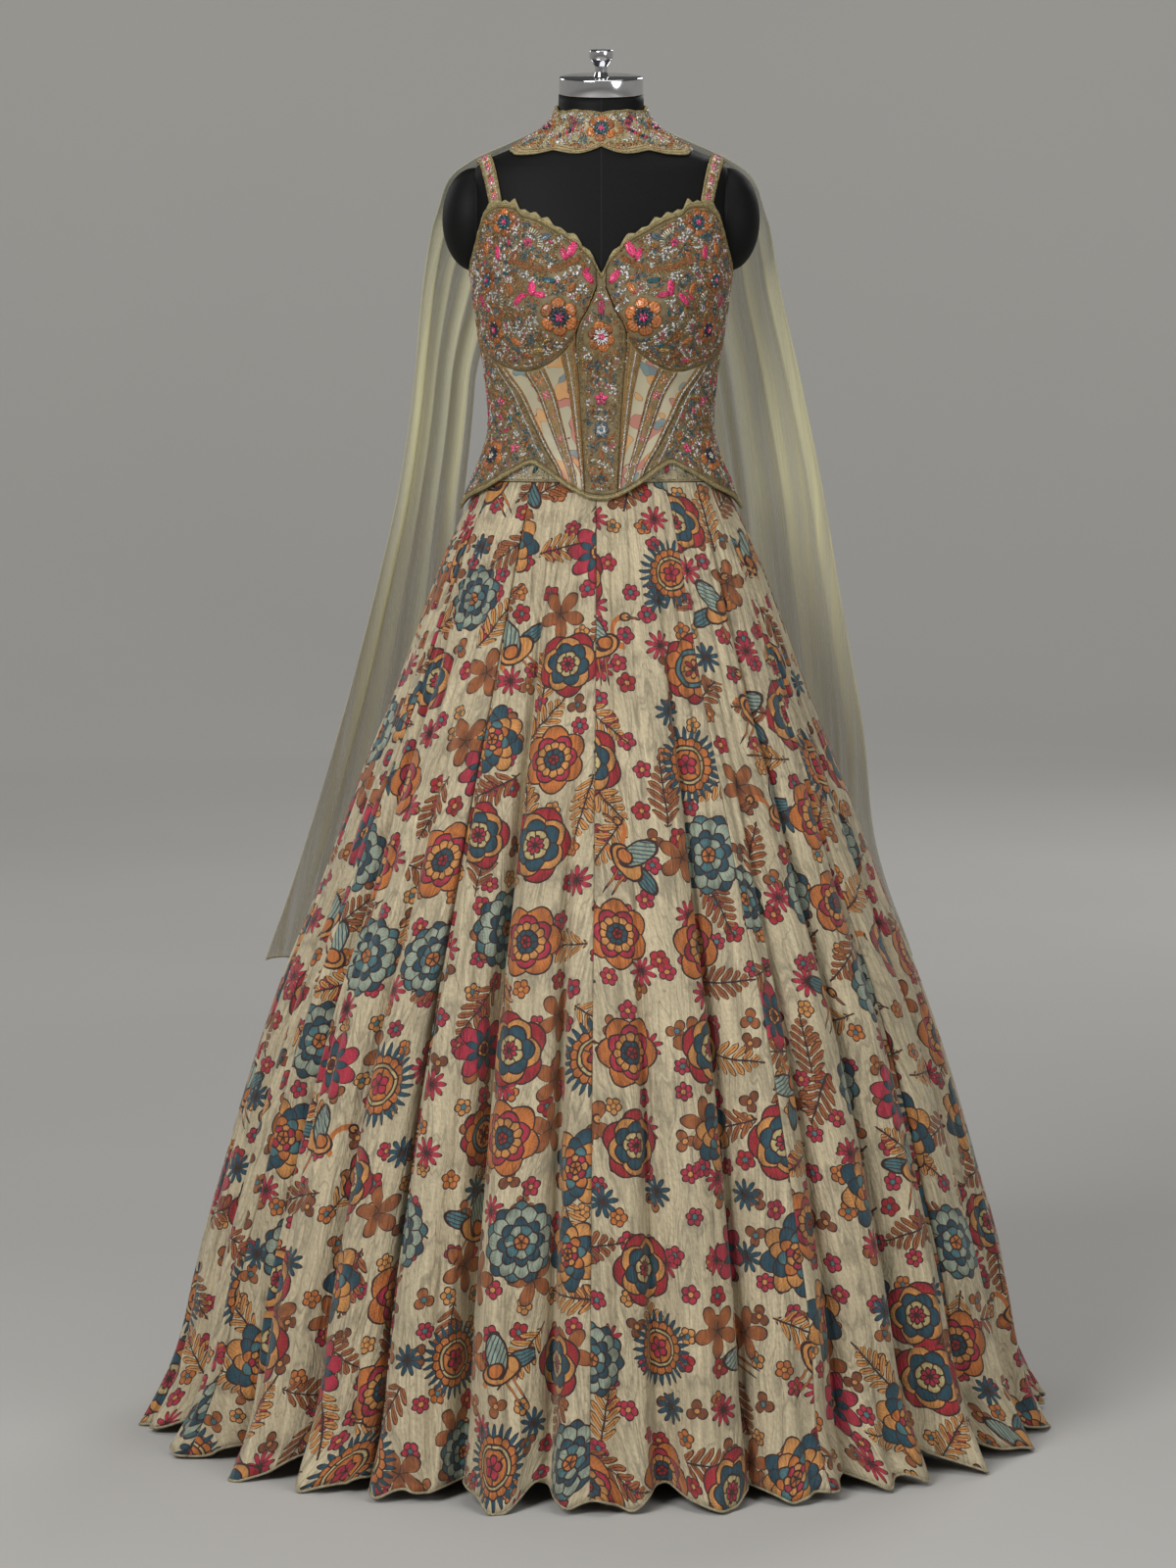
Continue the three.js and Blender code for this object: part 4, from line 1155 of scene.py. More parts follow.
def skirt_point(phi, z):
    """The skirt's outer surface, with its folds, its gathers and its hem turned out."""
    p = oval_point(SKIRT, phi, z)
    depth, groove = folds_at(phi, z)
    curl = np.maximum(0, 1 - z / HEM_KICK_HEIGHT) ** 2
    flare = smooth(230, 0, z) ** 1.6 * (hem_lobes(phi) - 0.35) * lobe_size(phi)
    ripple = np.sin(np.radians(phi) * 61 + 0.6) + 0.6 * np.sin(np.radians(phi) * 97 + 2.1)
    low = smooth(700, 0, z)
    out = HEM_KICK * curl * (1 - groove) - depth - gathers_at(phi, z) - drapes_at(phi, z)
    out = out + LOBE_OUT * flare + 1.1 * low * ripple
    out = out + FLUTTER_OUT * smooth(120, 0, z) ** 1.5 * hem_flutter(phi)
    level = p.copy()
    level[..., 2] = 0
    return p + unit(level) * out[..., None]


def hem_height(phi):
    in_fold = HEM_LIFT * smooth(0.2, 1, folds_at(phi, np.zeros_like(phi))[1])
    flutter = FLUTTER_LIFT * (0.5 - 0.5 * hem_flutter(phi))
    return in_fold + LOBE_LIFT * (1 - hem_lobes(phi)) * lobe_size(phi) + flutter


def gore_grid(index, columns, rows):
    """The outer points of one gore, from its hem up to the waistband."""
    start = FIRST_SEAM + index * 360 / GORES
    v = np.linspace(0, 1, rows)
    z = SKIRT_TOP * v ** 1.12
    u = np.linspace(0, 1, columns)
    phi, z = np.meshgrid(start + u * 360 / GORES, z)
    middle = oval_point(SKIRT, phi, z)
    gap = np.degrees(SEAM_GAP / 2 / np.hypot(middle[..., 0], middle[..., 1]))
    phi = phi + gap * (1 - 2 * u)
    p = skirt_point(phi, z)
    p[..., 2] += hem_height(phi) * np.maximum(0, 1 - z / HEM_KICK_HEIGHT)
    return p


def build_skirt(settings):
    silk = printed_silk("printed_silk", tuple(settings.ground), 0.85)
    rim = bound_edge("rolled_hem", (0.34, 0.29, 0.18))
    shifts = np.random.default_rng(5).uniform(0.0, 3.0, (GORES, 2))
    for index in range(GORES):
        outer = gore_grid(index, settings.gore_columns, settings.gore_rows)
        normal = grid_normals(outer)
        inner = outer - normal * SKIRT_WALL
        inner[0, :, 2] = outer[0, :, 2]
        inner[-1, :, 2] = outer[-1, :, 2]
        name = f"skirt_gore_{index + 1:02d}"
        uvs = cloth_uvs(outer, shifts[index])
        piece = wall(f"silk_gore_{index + 1:02d}", outer, inner, uvs)
        finish_piece(piece, "printed_silk", silk, name)
        line = (outer[0] + inner[0]) / 2
        line[:, 2] = np.maximum(line[:, 2], HEM_ROLL)
        hem = tube(f"rolled_hem_{index + 1:02d}", line, HEM_ROLL, 8)
        finish_piece(hem, "printed_silk", rim)
        declare_sheet(outer)


def ring_faces(around, along):
    """The faces between rings of points, with a cap at each end."""
    faces = []
    for ring in range(along - 1):
        foot, head = ring * around, (ring + 1) * around
        for here in range(around):
            there = (here + 1) % around
            faces.append([foot + here, foot + there, head + there, head + here])
    return faces + [list(range(around))[::-1], [(along - 1) * around + here for here in range(around)]]


def tube(name, line, radius, sides):
    """A round edge along a line of points."""
    ahead = np.roll(line, -1, axis=0) - np.roll(line, 1, axis=0)
    ahead[0], ahead[-1] = line[1] - line[0], line[-1] - line[-2]
    ahead = unit(ahead)
    up = np.tile([0.0, 0.0, 1.0], (len(line), 1))
    side = unit(np.cross(ahead, up))
    up = np.cross(side, ahead)
    turn = np.linspace(0, math.tau, sides, endpoint=False)
    ring = np.cos(turn)[:, None, None] * side + np.sin(turn)[:, None, None] * up
    points = (line + radius * ring).transpose(1, 0, 2)
    faces = ring_faces(sides, len(line))
    along = np.cumsum(np.linalg.norm(np.diff(line, axis=0, prepend=line[:1]), axis=1)) * MM
    uvs = np.stack(np.broadcast_arrays(along[:, None], turn[None, :] * radius * MM), -1).reshape(-1, 2)
    piece = new_mesh_object(name, points.reshape(-1, 3), faces, uvs)
    mend_normals(piece)
    return piece


def mend_normals(piece):
    mesh = bmesh.new()
    mesh.from_mesh(piece.data)
    bmesh.ops.recalc_face_normals(mesh, faces=mesh.faces)
    mesh.to_mesh(piece.data)
    mesh.free()


# The bodice

SEAM_PHI = math.degrees(SEAM_GAP / 2 / 110)


def side_seam(z):
    return np.full(np.shape(z), float(SIDE_SEAM))


def centre_back(z):
    return np.full(np.shape(z), 180.0)


# Each panel's left and right edges by height, and its foot and head by phi
FRONT_PANEL = (centre_at, princess_at, hem_at, cup_at)
SIDE_PANEL = (princess_at, side_seam, hem_at, cup_at)
BACK_PANEL = (side_seam, centre_back, hem_at, top_at)


def panel_place(panel, u, v):
    """phi and z of a panel's points, found by turns from its four edges."""
    left, right, foot, head = panel
    u, v = np.broadcast_arrays(np.asarray(u, float), np.asarray(v, float))
    z = np.full(u.shape, 1200.0)
    phi = (left(z) + right(z)) / 2
    for _ in range(14):
        low, high = foot(phi) + SEAM_GAP / 2, head(phi) - SEAM_GAP / 2
        z = low + (high - low) * v
        first, last = left(z) + SEAM_PHI, right(z) - SEAM_PHI
        phi = first + (last - first) * u
    return phi, z


def cup_foot(phi):
    """The cup's lower edge. Above the cup line's inner end it follows the centre panel."""
    phi = np.asarray(phi, float)
    low = np.full(phi.shape, float(CUP_LINE["z"][0]))
    high = np.full(phi.shape, float(NECKLINE["z"][0]))
    for _ in range(24):
        middle = (low + high) / 2
        outside = centre_at(middle) > phi
        low = np.where(outside, middle, low)
        high = np.where(outside, high, middle)
    return np.where(phi >= CUP_EDGE["phi"][0], cup_at(phi), low)


def cup_place(u, v):
    phi = CUP_START + SEAM_PHI + u * (SIDE_SEAM - CUP_START - 2 * SEAM_PHI)
    low, high = cup_foot(phi) + SEAM_GAP / 2, top_at(phi) - SEAM_GAP / 2
    return phi, low + (high - low) * v


def centre_place(u, v):
    u, v = np.broadcast_arrays(np.asarray(u, float), np.asarray(v, float))
    phi = np.zeros(u.shape)
    z = np.zeros(u.shape)
    for _ in range(14):
        low, head = hem_at(np.abs(phi)) + SEAM_GAP / 2, top_at(np.minimum(np.abs(phi), CUP_START)) - 0.1
        z = low + (head - low) * v
        spare = CUP_SEAM_SPARE * smooth(1285, 1305, z)
        half = centre_at(z) - SEAM_PHI * (1 + 2 * spare / SEAM_GAP)
        phi = (2 * u - 1) * np.maximum(half, CUP_START - SEAM_PHI)
    return phi, z


def bodice_surface(phi, z, lift=0.0):
    return off_form(phi, z, bodice_inside(z) + BODICE_WALL + lift)


# Channels of the boned front panels: where each begins and ends across the panel
CHANNELS = ((0.0, 0.13), (0.34, 0.62), (0.87, 1.0))


def channel_lift(u):
    """The height of the boning that fills the channels of a front panel."""
    lift = np.zeros(np.shape(u))
    for start, end in CHANNELS:
        across = np.clip((u - start) / (end - start), 0, 1)
        lift = np.maximum(lift, 0.9 * np.sin(np.pi * across) ** 0.6)
    return lift


def seam_dip(u, v):
    """How a panel's edges sink to the seams."""
    nearest = np.minimum(np.minimum(u, 1 - u), np.minimum(v, 1 - v))
    return -0.6 * np.exp(-((nearest / 0.02) ** 2))


def sew_panel(name, node, place, side, shape, material, relief=None):
    columns, rows = shape
    u, v = np.meshgrid(np.linspace(0, 1, columns), np.linspace(0, 1, rows))
    phi, z = place(u, v)
    if side < 0:
        phi, z, u = -phi[:, ::-1], z[:, ::-1], u[:, ::-1]
    lift = seam_dip(u, v) + (relief(u) if relief else 0)
    outer = bodice_surface(phi, z, lift)
    inner = bodice_surface(phi, z, -BODICE_WALL)
    piece = wall(name, outer, inner, cloth_uvs(outer, (0.3 * side, 0.1)))
    flat = np.stack([u, v], -1).reshape(-1, 2)
    add_uvs(piece.data, "panel", np.concatenate([flat, flat]))
    finish_piece(piece, "beaded_embroidery", material, node)
    declare_sheet(outer)
    return piece


def boned_panel(name, ground, gold):
    """Front panels: gold channels with printed chiffon between them."""
    f = Finish(name)
    cloth = f.cloth()
    across, _, _ = f.split(f.node("ShaderNodeUVMap", {"uv_map": "panel"}).outputs[0])
    channel = None
    for start, end in CHANNELS:
        inside = (across > start) * (across < end)
        channel = inside if channel is None else channel.max(inside)
    mottle = f.noise(cloth, 120.0, 3.0, 0.6)
    chiffon = f.ramp(f.noise(cloth, 9.0, 1.0, 0.4), (0.40, ground), (0.52, tuple(c * 0.8 for c in ground)))
    for shift, scale, wash in (
        (0.0, 31.0, (0.40, 0.13, 0.10)),
        (3.1, 27.0, (0.12, 0.21, 0.22)),
        (7.4, 35.0, (0.52, 0.27, 0.09)),
    ):
        blot = f.noise(f.vector("ADD", cloth, (shift, shift, 0)), scale, 1.0, 0.45)
        patch = f.level(blot, (0.585, 0.0), (0.60, 0.85))
        chiffon = f.mix(patch, chiffon, wash)
        chiffon = f.mix((blot - 0.592).abs() < 0.004, chiffon, (0.16, 0.05, 0.03))
    band = f.ramp(mottle, (0.3, tuple(c * 0.6 for c in gold)), (0.7, gold))
    color = f.mix(channel, chiffon, band)
    _, v, _ = f.split(cloth)
    thread = (v * 5200.0).sin() * channel
    f.set(Base_Color=color, Roughness=f.level(mottle, (0.3, 0.62), (0.7, 0.42)))
    f.set(Normal=f.bump(thread * 0.5 + mottle, 0.6, 0.0007))
    return f.material


# Beading

GOLD = (0.50, 0.33, 0.12, 0.8)
BRONZE = (0.30, 0.17, 0.06, 0.7)
OLIVE = (0.38, 0.33, 0.16, 0.5)
GREEN_PEARL = (0.62, 0.61, 0.45, 0.2)
COPPER = (0.46, 0.15, 0.04, 0.45)
THREAD = (0.50, 0.155, 0.03, 0.0)
PINK = (0.72, 0.035, 0.16, 0.0)
NAVY = (0.012, 0.035, 0.07, 0.2)
PEACOCK = (0.02, 0.16, 0.20, 0.3)
SLATE = (0.12, 0.175, 0.21, 0.45)
SILVER = (0.95, 0.94, 0.90, 0.35)
PEARL = (0.72, 0.66, 0.50, 0.0)
SEED, BUGLE, SEQUIN, PAD = "seed", "bugle", "sequin", "pad"
EDGE_SEED = (1.8, 1.8, 1.7)
EDGE_BUGLE = (3.2, 1.2, 1.2)
BODICE_DEGREE = 2.3  # millimetres round the bodice for each degree


def seed_bead():
    """The smallest bead as an octahedron, which smooth shading rounds off: its points and faces."""
    points = np.concatenate([np.eye(3), -np.eye(3)]) * 0.5
    upper = [(0, 1, 2), (1, 3, 2), (3, 4, 2), (4, 0, 2)]
    lower = [(1, 0, 5), (3, 1, 5), (4, 3, 5), (0, 4, 5)]
    return points, [list(face) for face in upper + lower]


def bead_templates():
    """Each kind of bead as one unit shape: its points and faces."""
    shapes = {
        BUGLE: lambda: bpy.ops.mesh.primitive_cylinder_add(
            vertices=3, radius=0.5, depth=1, rotation=(0, math.pi / 2, 0)
        ),
        SEQUIN: lambda: bpy.ops.mesh.primitive_cone_add(vertices=6, radius1=0.5, radius2=0, depth=0.22),
        PAD: lambda: bpy.ops.mesh.primitive_uv_sphere_add(segments=8, ring_count=4, radius=0.5),
    }
    found = {SEED: seed_bead()}
    for kind, add in shapes.items():
        bpy.ops.object.select_all(action="DESELECT")
        add()
        template = bpy.context.object
        bpy.ops.object.transform_apply(location=True, rotation=True, scale=True)
        points = np.array([p.co for p in template.data.vertices])
        faces = [list(face.vertices) for face in template.data.polygons]
        found[kind] = (points, faces)
        bpy.data.objects.remove(template, do_unlink=True)
    return found


class Beading:
    """Beads, bugles, sequins and stitched pads sewn to a surface given by two coordinates."""

    def __init__(self, surface, seed, claim_scale):
        self.surface = surface
        self.random = np.random.default_rng(seed)
        self.rows = {SEED: [], BUGLE: [], SEQUIN: [], PAD: []}
        self.claims = []
        self.claim_scale = claim_scale

    def scale(self, p, q):
        """Millimetres for one step of each coordinate at a place."""
        middle = self.surface(np.array(p, float), np.array(q, float))
        across = np.linalg.norm(self.surface(np.array(p + 0.5), np.array(q, float)) - middle) * 2
        up = np.linalg.norm(self.surface(np.array(p, float), np.array(q + 1.0)) - middle)
        return across, up

    def sew(self, kind, p, q, heading, size, color, lift=0.4):
        """Items at places of the surface. size is length, width and height in millimetres."""
        columns = np.broadcast_arrays(
            *(np.atleast_1d(np.asarray(value, float)) for value in (p, q, heading, *size, lift, *color))
        )
        self.rows[kind].append(np.stack(columns, -1))

    def claim(self, p, q, radius):
        p, q, radius = np.broadcast_arrays(*(np.atleast_1d(np.asarray(a, float)) for a in (p, q, radius)))
        self.claims.append(np.stack([p * self.claim_scale, q, radius], -1))

    def free(self, p, q):
        if not self.claims:
            return np.ones(np.shape(p), bool)
        taken = np.concatenate(self.claims)
        free = np.ones(len(p), bool)
        for x, y, radius in taken:
            free &= (p * self.claim_scale - x) ** 2 + (q - y) ** 2 > radius * radius
        return free

    def ring(self, kind, place, reach, count, size, color, turn=0.0, spread=math.tau, slant=0.0, lift=0.4):
        """Items round a place, each pointing away from it."""
        p, q = place
        across, up = self.scale(p, q)
        angle = turn + np.arange(count) * spread / count
        at_p = p + reach * np.cos(angle) / across
        at_q = q + reach * np.sin(angle) / up
        self.sew(kind, at_p, at_q, angle + slant, size, color, lift)

    def line(self, kind, p, q, spacing, size, color, slant=0.0, sway=0.0, lift=0.4, claim=1.6):
        """Items along a path, at even spaces. sway turns every other one the other way."""
        points = self.surface(p, q)
        along = np.concatenate([[0], np.cumsum(np.linalg.norm(np.diff(points, axis=0), axis=1))])
        count = max(2, int(along[-1] / spacing))
        at = np.linspace(0, along[-1], count)
        at_p, at_q = np.interp(at, along, p), np.interp(at, along, q)
        across, up = self.scale(float(np.mean(p)), float(np.mean(q)))
        heading = np.arctan2(np.gradient(at_q) * up, np.gradient(at_p) * across) + slant
        heading = heading + sway * (1 - 2 * (np.arange(count) % 2))
        self.sew(kind, at_p, at_q, heading, size, color, lift)
        if claim:
            self.claim(at_p, at_q, claim)

    def flower(self, place, radius, petals, outer, middle, heart, sparkle=SILVER):
        """A stitched flower: padded petals, a dark ring of bugles, sequins and a bright heart."""
        turn = self.random.uniform(0, math.tau)
        step = math.tau / petals
        width = 2 * radius * 0.7 * math.sin(step / 2) * 1.06
        self.ring(PAD, place, radius * 0.70, petals, (radius * 0.60, width, 2.0), outer, turn, lift=0.2)
        for side in (-0.36, -0.18, 0.0, 0.18, 0.36):
            reach = radius * (1.0 - 0.9 * side * side)
            self.ring(SEED, place, reach, petals, (1.5, 1.5, 1.5), COPPER, turn + side * step, lift=0.5)
        for reach in (0.56, 0.72, 0.86):
            for side in (-0.2, 0.0, 0.2):
                size = (radius * 0.13, 0.9, 0.9)
                self.ring(BUGLE, place, radius * reach, petals, size, outer, turn + side * step, lift=1.4)
        self.ring(PAD, place, radius * 0.28, 7, (radius * 0.34, radius * 0.24, 2.6), middle, turn, lift=0.6)
        self.ring(BUGLE, place, radius * 0.40, 16, (radius * 0.26, 1.4, 1.4), middle, turn, lift=1.7)
        self.ring(SEQUIN, place, radius * 0.52, petals, (3.2, 3.2, 3.2), sparkle, turn + step / 2, lift=1.9)
        self.ring(PAD, place, radius * 0.13, 5, (radius * 0.22, radius * 0.15, 2.2), heart, turn, lift=2.0)
        self.ring(SEED, place, 0.0, 1, (2.0, 2.0, 2.0), sparkle, lift=3.0)
        self.claim(*place, radius * 0.98)

    def small_flower(self, place, radius, outer, heart):
        self.ring(PAD, place, radius * 0.55, 5, (radius * 0.85, radius * 0.62, 1.8), outer, 0.3, lift=0.4)
        self.ring(SEED, place, radius * 0.5, 5, (1.3, 1.3, 1.3), heart, 0.3, lift=1.4)
        self.ring(SEED, place, 0.0, 1, (2.2, 2.2, 2.0), heart, lift=1.4)
        self.claim(*place, radius)

    def leaf(self, place, heading, length, color, edge=GOLD):
        """A padded leaf with a beaded outline."""
        p, q = place
        across, up = self.scale(p, q)
        c, s = math.cos(heading), math.sin(heading)

        def beside(t, width):
            """Places along the leaf, t from -1 to 1, bowed out by a width at its middle."""
            a, b = t * length / 2, width * (1 - t * t)
            return p + (a * c - b * s) / across, q + (a * s + b * c) / up

        self.sew(PAD, p, q, heading, (length * 0.95, length * 0.44, 2.2), color, 0.3)
        for side in (-1, 1):
            rim = beside(np.linspace(-1, 1, 9), side * length * 0.22)
            self.sew(SEED, *rim, heading, (1.4, 1.4, 1.4), edge, 0.4)
            grain = beside(np.linspace(-0.6, 0.6, 5), side * length * 0.08)
            self.sew(BUGLE, *grain, heading + side * 0.5, (length * 0.16, 1.0, 1.0), color, 1.5)
        self.claim(p, q, length * 0.36)

    def sparkles(self, place, radius, count, color=SILVER):
        """A cluster of loose sequins."""
        p, q = place
        across, up = self.scale(p, q)
        reach = radius * np.sqrt(self.random.uniform(0, 1, count))
        angle = self.random.uniform(0, math.tau, count)
        width = self.random.uniform(2.6, 4.0, count)
        at_p, at_q = p + reach * np.cos(angle) / across, q + reach * np.sin(angle) / up
        lift = self.random.uniform(0.5, 1.6, count)
        self.sew(SEQUIN, at_p, at_q, angle, (width, width, width * 0.9), color, lift)
        self.claim(p, q, radius)

    def dashes(self, place, heading, count=4, length=3.4, color=SLATE):
        """A few short bugles side by side."""
        p, q = place
        across, up = self.scale(p, q)
        off = (np.arange(count) - (count - 1) / 2) * 1.5
        at_p, at_q = p - off * math.sin(heading) / across, q + off * math.cos(heading) / up
        self.sew(BUGLE, at_p, at_q, heading + 0.6, (length, 1.2, 1.2), color, 0.5)
        self.claim(p, q, 2.6)

    def fan(self, place, radius, turn, spread, color=PEARL):
        """Cream bugles fanned round part of a circle, with a dark line inside and outside."""
        count = max(5, int(radius * spread / 2.7))
        self.ring(BUGLE, place, radius, count, (radius * 0.42, 1.9, 1.9), color, turn, spread, lift=0.6)
        for reach, shade in ((0.68, PEACOCK), (1.3, COPPER)):
            many = int(radius * reach * spread / 1.6)
            self.ring(SEED, place, radius * reach, many, (1.5, 1.5, 1.5), shade, turn, spread)
        across, up = self.scale(*place)
        for share in (0.25, 0.5, 0.75):
            angle = turn + spread * share
            p = place[0] + radius * math.cos(angle) / across
            q = place[1] + radius * math.sin(angle) / up
            self.claim(p, q, radius * 0.4)

    def room(self, place, u, v, width, length):
        """The share of the widest and longest part's cloth that each place's cell has."""
        step = 0.01
        here = self.surface(*place(u, v))
        right = self.surface(*place(np.minimum(u + step, 1), v)) - here
        up = self.surface(*place(u, np.minimum(v + step, 1))) - here
        return np.linalg.norm(np.cross(right, up), axis=-1) / (width * length * step * step)

    def fill(self, place, u_range, v_range, spacing, mix):
        """Beads in all the room that is left. place turns u and v into the surface's coordinates."""
        sample = np.meshgrid(np.linspace(*u_range, 25), np.linspace(*v_range, 25))
        _, width, length = grid_area(self.surface(*place(*sample)))
        across, up = max(2, int(width / spacing)), max(2, int(length / spacing))
        i, j = np.meshgrid(np.arange(across), np.arange(up))
        shape = i.shape
        u = (i + 0.5 * (j % 2) + self.random.uniform(0.1, 0.75, shape)) / across
        v = (j + self.random.uniform(0.1, 0.75, shape)) / up
        u, v = u.ravel(), v.ravel()
        keep = (u > 0) & (u < 1) & (v > 0) & (v < 1)
        u = u_range[0] + u[keep] * (u_range[1] - u_range[0])
        v = v_range[0] + v[keep] * (v_range[1] - v_range[0])
        p, q = place(u, v)
        keep = self.free(p, q) & (self.random.uniform(0, 1, len(p)) < self.room(place, u, v, width, length))
        p, q = p[keep], q[keep]
        x = p * self.claim_scale
        drift = np.sin(x / 4.6 + 1.9 * np.sin(q / 7.3)) + np.cos(q / 5.2 + 1.7 * np.sin(x / 8.1))
        drift += self.random.normal(0, 0.32, len(p))
        pick = np.argsort(np.argsort(drift)) / max(1, len(p))
        start = 0.0
        for share, kind, color, size in mix:
            chosen = (pick >= start) & (pick < start + share)
            start += share
            heading = self.random.uniform(0, math.tau, chosen.sum())
            big = self.random.uniform(0.85, 1.25, chosen.sum())
            self.sew(kind, p[chosen], q[chosen], heading, [big * s for s in size], color, 0.35)

    def build(self, name, templates, material, kinds=(SEED, BUGLE, SEQUIN, PAD)):
        """One joined mesh of all the items of some kinds."""
        points, faces, colors = [], [], []
        offset = 0
        for kind in kinds:
            if not self.rows[kind]:
                continue
            row = np.concatenate(self.rows[kind])
            p, q, heading, long, wide, high, lift = row.T[:7]
            middle = self.surface(p, q, lift)
            normal = unit(self.surface(p, q, lift + 1) - middle)
            east = unit(self.surface(p + 0.2, q, lift) - self.surface(p - 0.2, q, lift))
            north = self.surface(p, q + 0.5, lift) - self.surface(p, q - 0.5, lift)
            north = unit(north - east * (north * east).sum(-1, keepdims=True))
            ahead = np.cos(heading)[:, None] * east + np.sin(heading)[:, None] * north
            if kind == SEQUIN:
                tilt = self.random.normal(0, 0.3, (len(row), 3))
                normal = unit(normal + tilt)
                ahead = unit(np.cross(np.cross(normal, ahead), normal))
            side = np.cross(normal, ahead)
            shape, template_faces = templates[kind]
            local = shape[None] * np.stack([long, wide, high], -1)[:, None]
            placed = (
                middle[:, None]
                + local[..., :1] * ahead[:, None]
                + local[..., 1:2] * side[:, None]
                + local[..., 2:] * normal[:, None]
            )
            count = len(shape)
            shifts = offset + np.arange(len(row)) * count
            for size in {len(face) for face in template_faces}:
                group = np.array([face for face in template_faces if len(face) == size])
                faces += (group[None] + shifts[:, None, None]).reshape(-1, size).tolist()
            offset += count * len(row)
            points.append(placed.reshape(-1, 3))
            shade = self.random.uniform(0.48, 1.5, (len(row), 1))
            tint = row[:, 7:11] * np.concatenate([shade, shade, shade, np.ones_like(shade)], 1)
            colors.append(np.repeat(tint, count, axis=0))
        piece = new_mesh_object(name, np.concatenate(points), faces)
        layer = piece.data.attributes.new(name="bead", type="FLOAT_COLOR", domain="POINT")
        layer.data.foreach_set("color", np.clip(np.concatenate(colors), 0, 1).ravel())
        mend_normals(piece)
        finish_piece(piece, "beaded_embroidery", material)
        return piece


GROUND_MIX = (
    (0.05, SEED, PEACOCK, (2.1, 2.1, 1.8)),
    (0.12, BUGLE, SLATE, (3.4, 1.3, 1.3)),
    (0.06, SEED, GREEN_PEARL, (2.0, 2.0, 1.6)),
    (0.16, BUGLE, THREAD, (3.2, 1.5, 1.4)),
    (0.12, SEED, BRONZE, (1.9, 1.9, 1.5)),
    (0.16, SEED, GOLD, (1.9, 1.9, 1.5)),
    (0.09, SEED, GREEN_PEARL, (2.1, 2.1, 1.7)),
    (0.14, SEQUIN, SILVER, (3.1, 3.1, 2.9)),
    (0.05, SEED, PINK, (2.1, 2.1, 1.7)),
)


def edge_path(place, u, v, count=90):
    """phi and z along a line of a panel, from one u, v to another."""
    t = np.linspace(0, 1, count)
    return place(u[0] + (u[1] - u[0]) * t, v[0] + (v[1] - v[0]) * t)


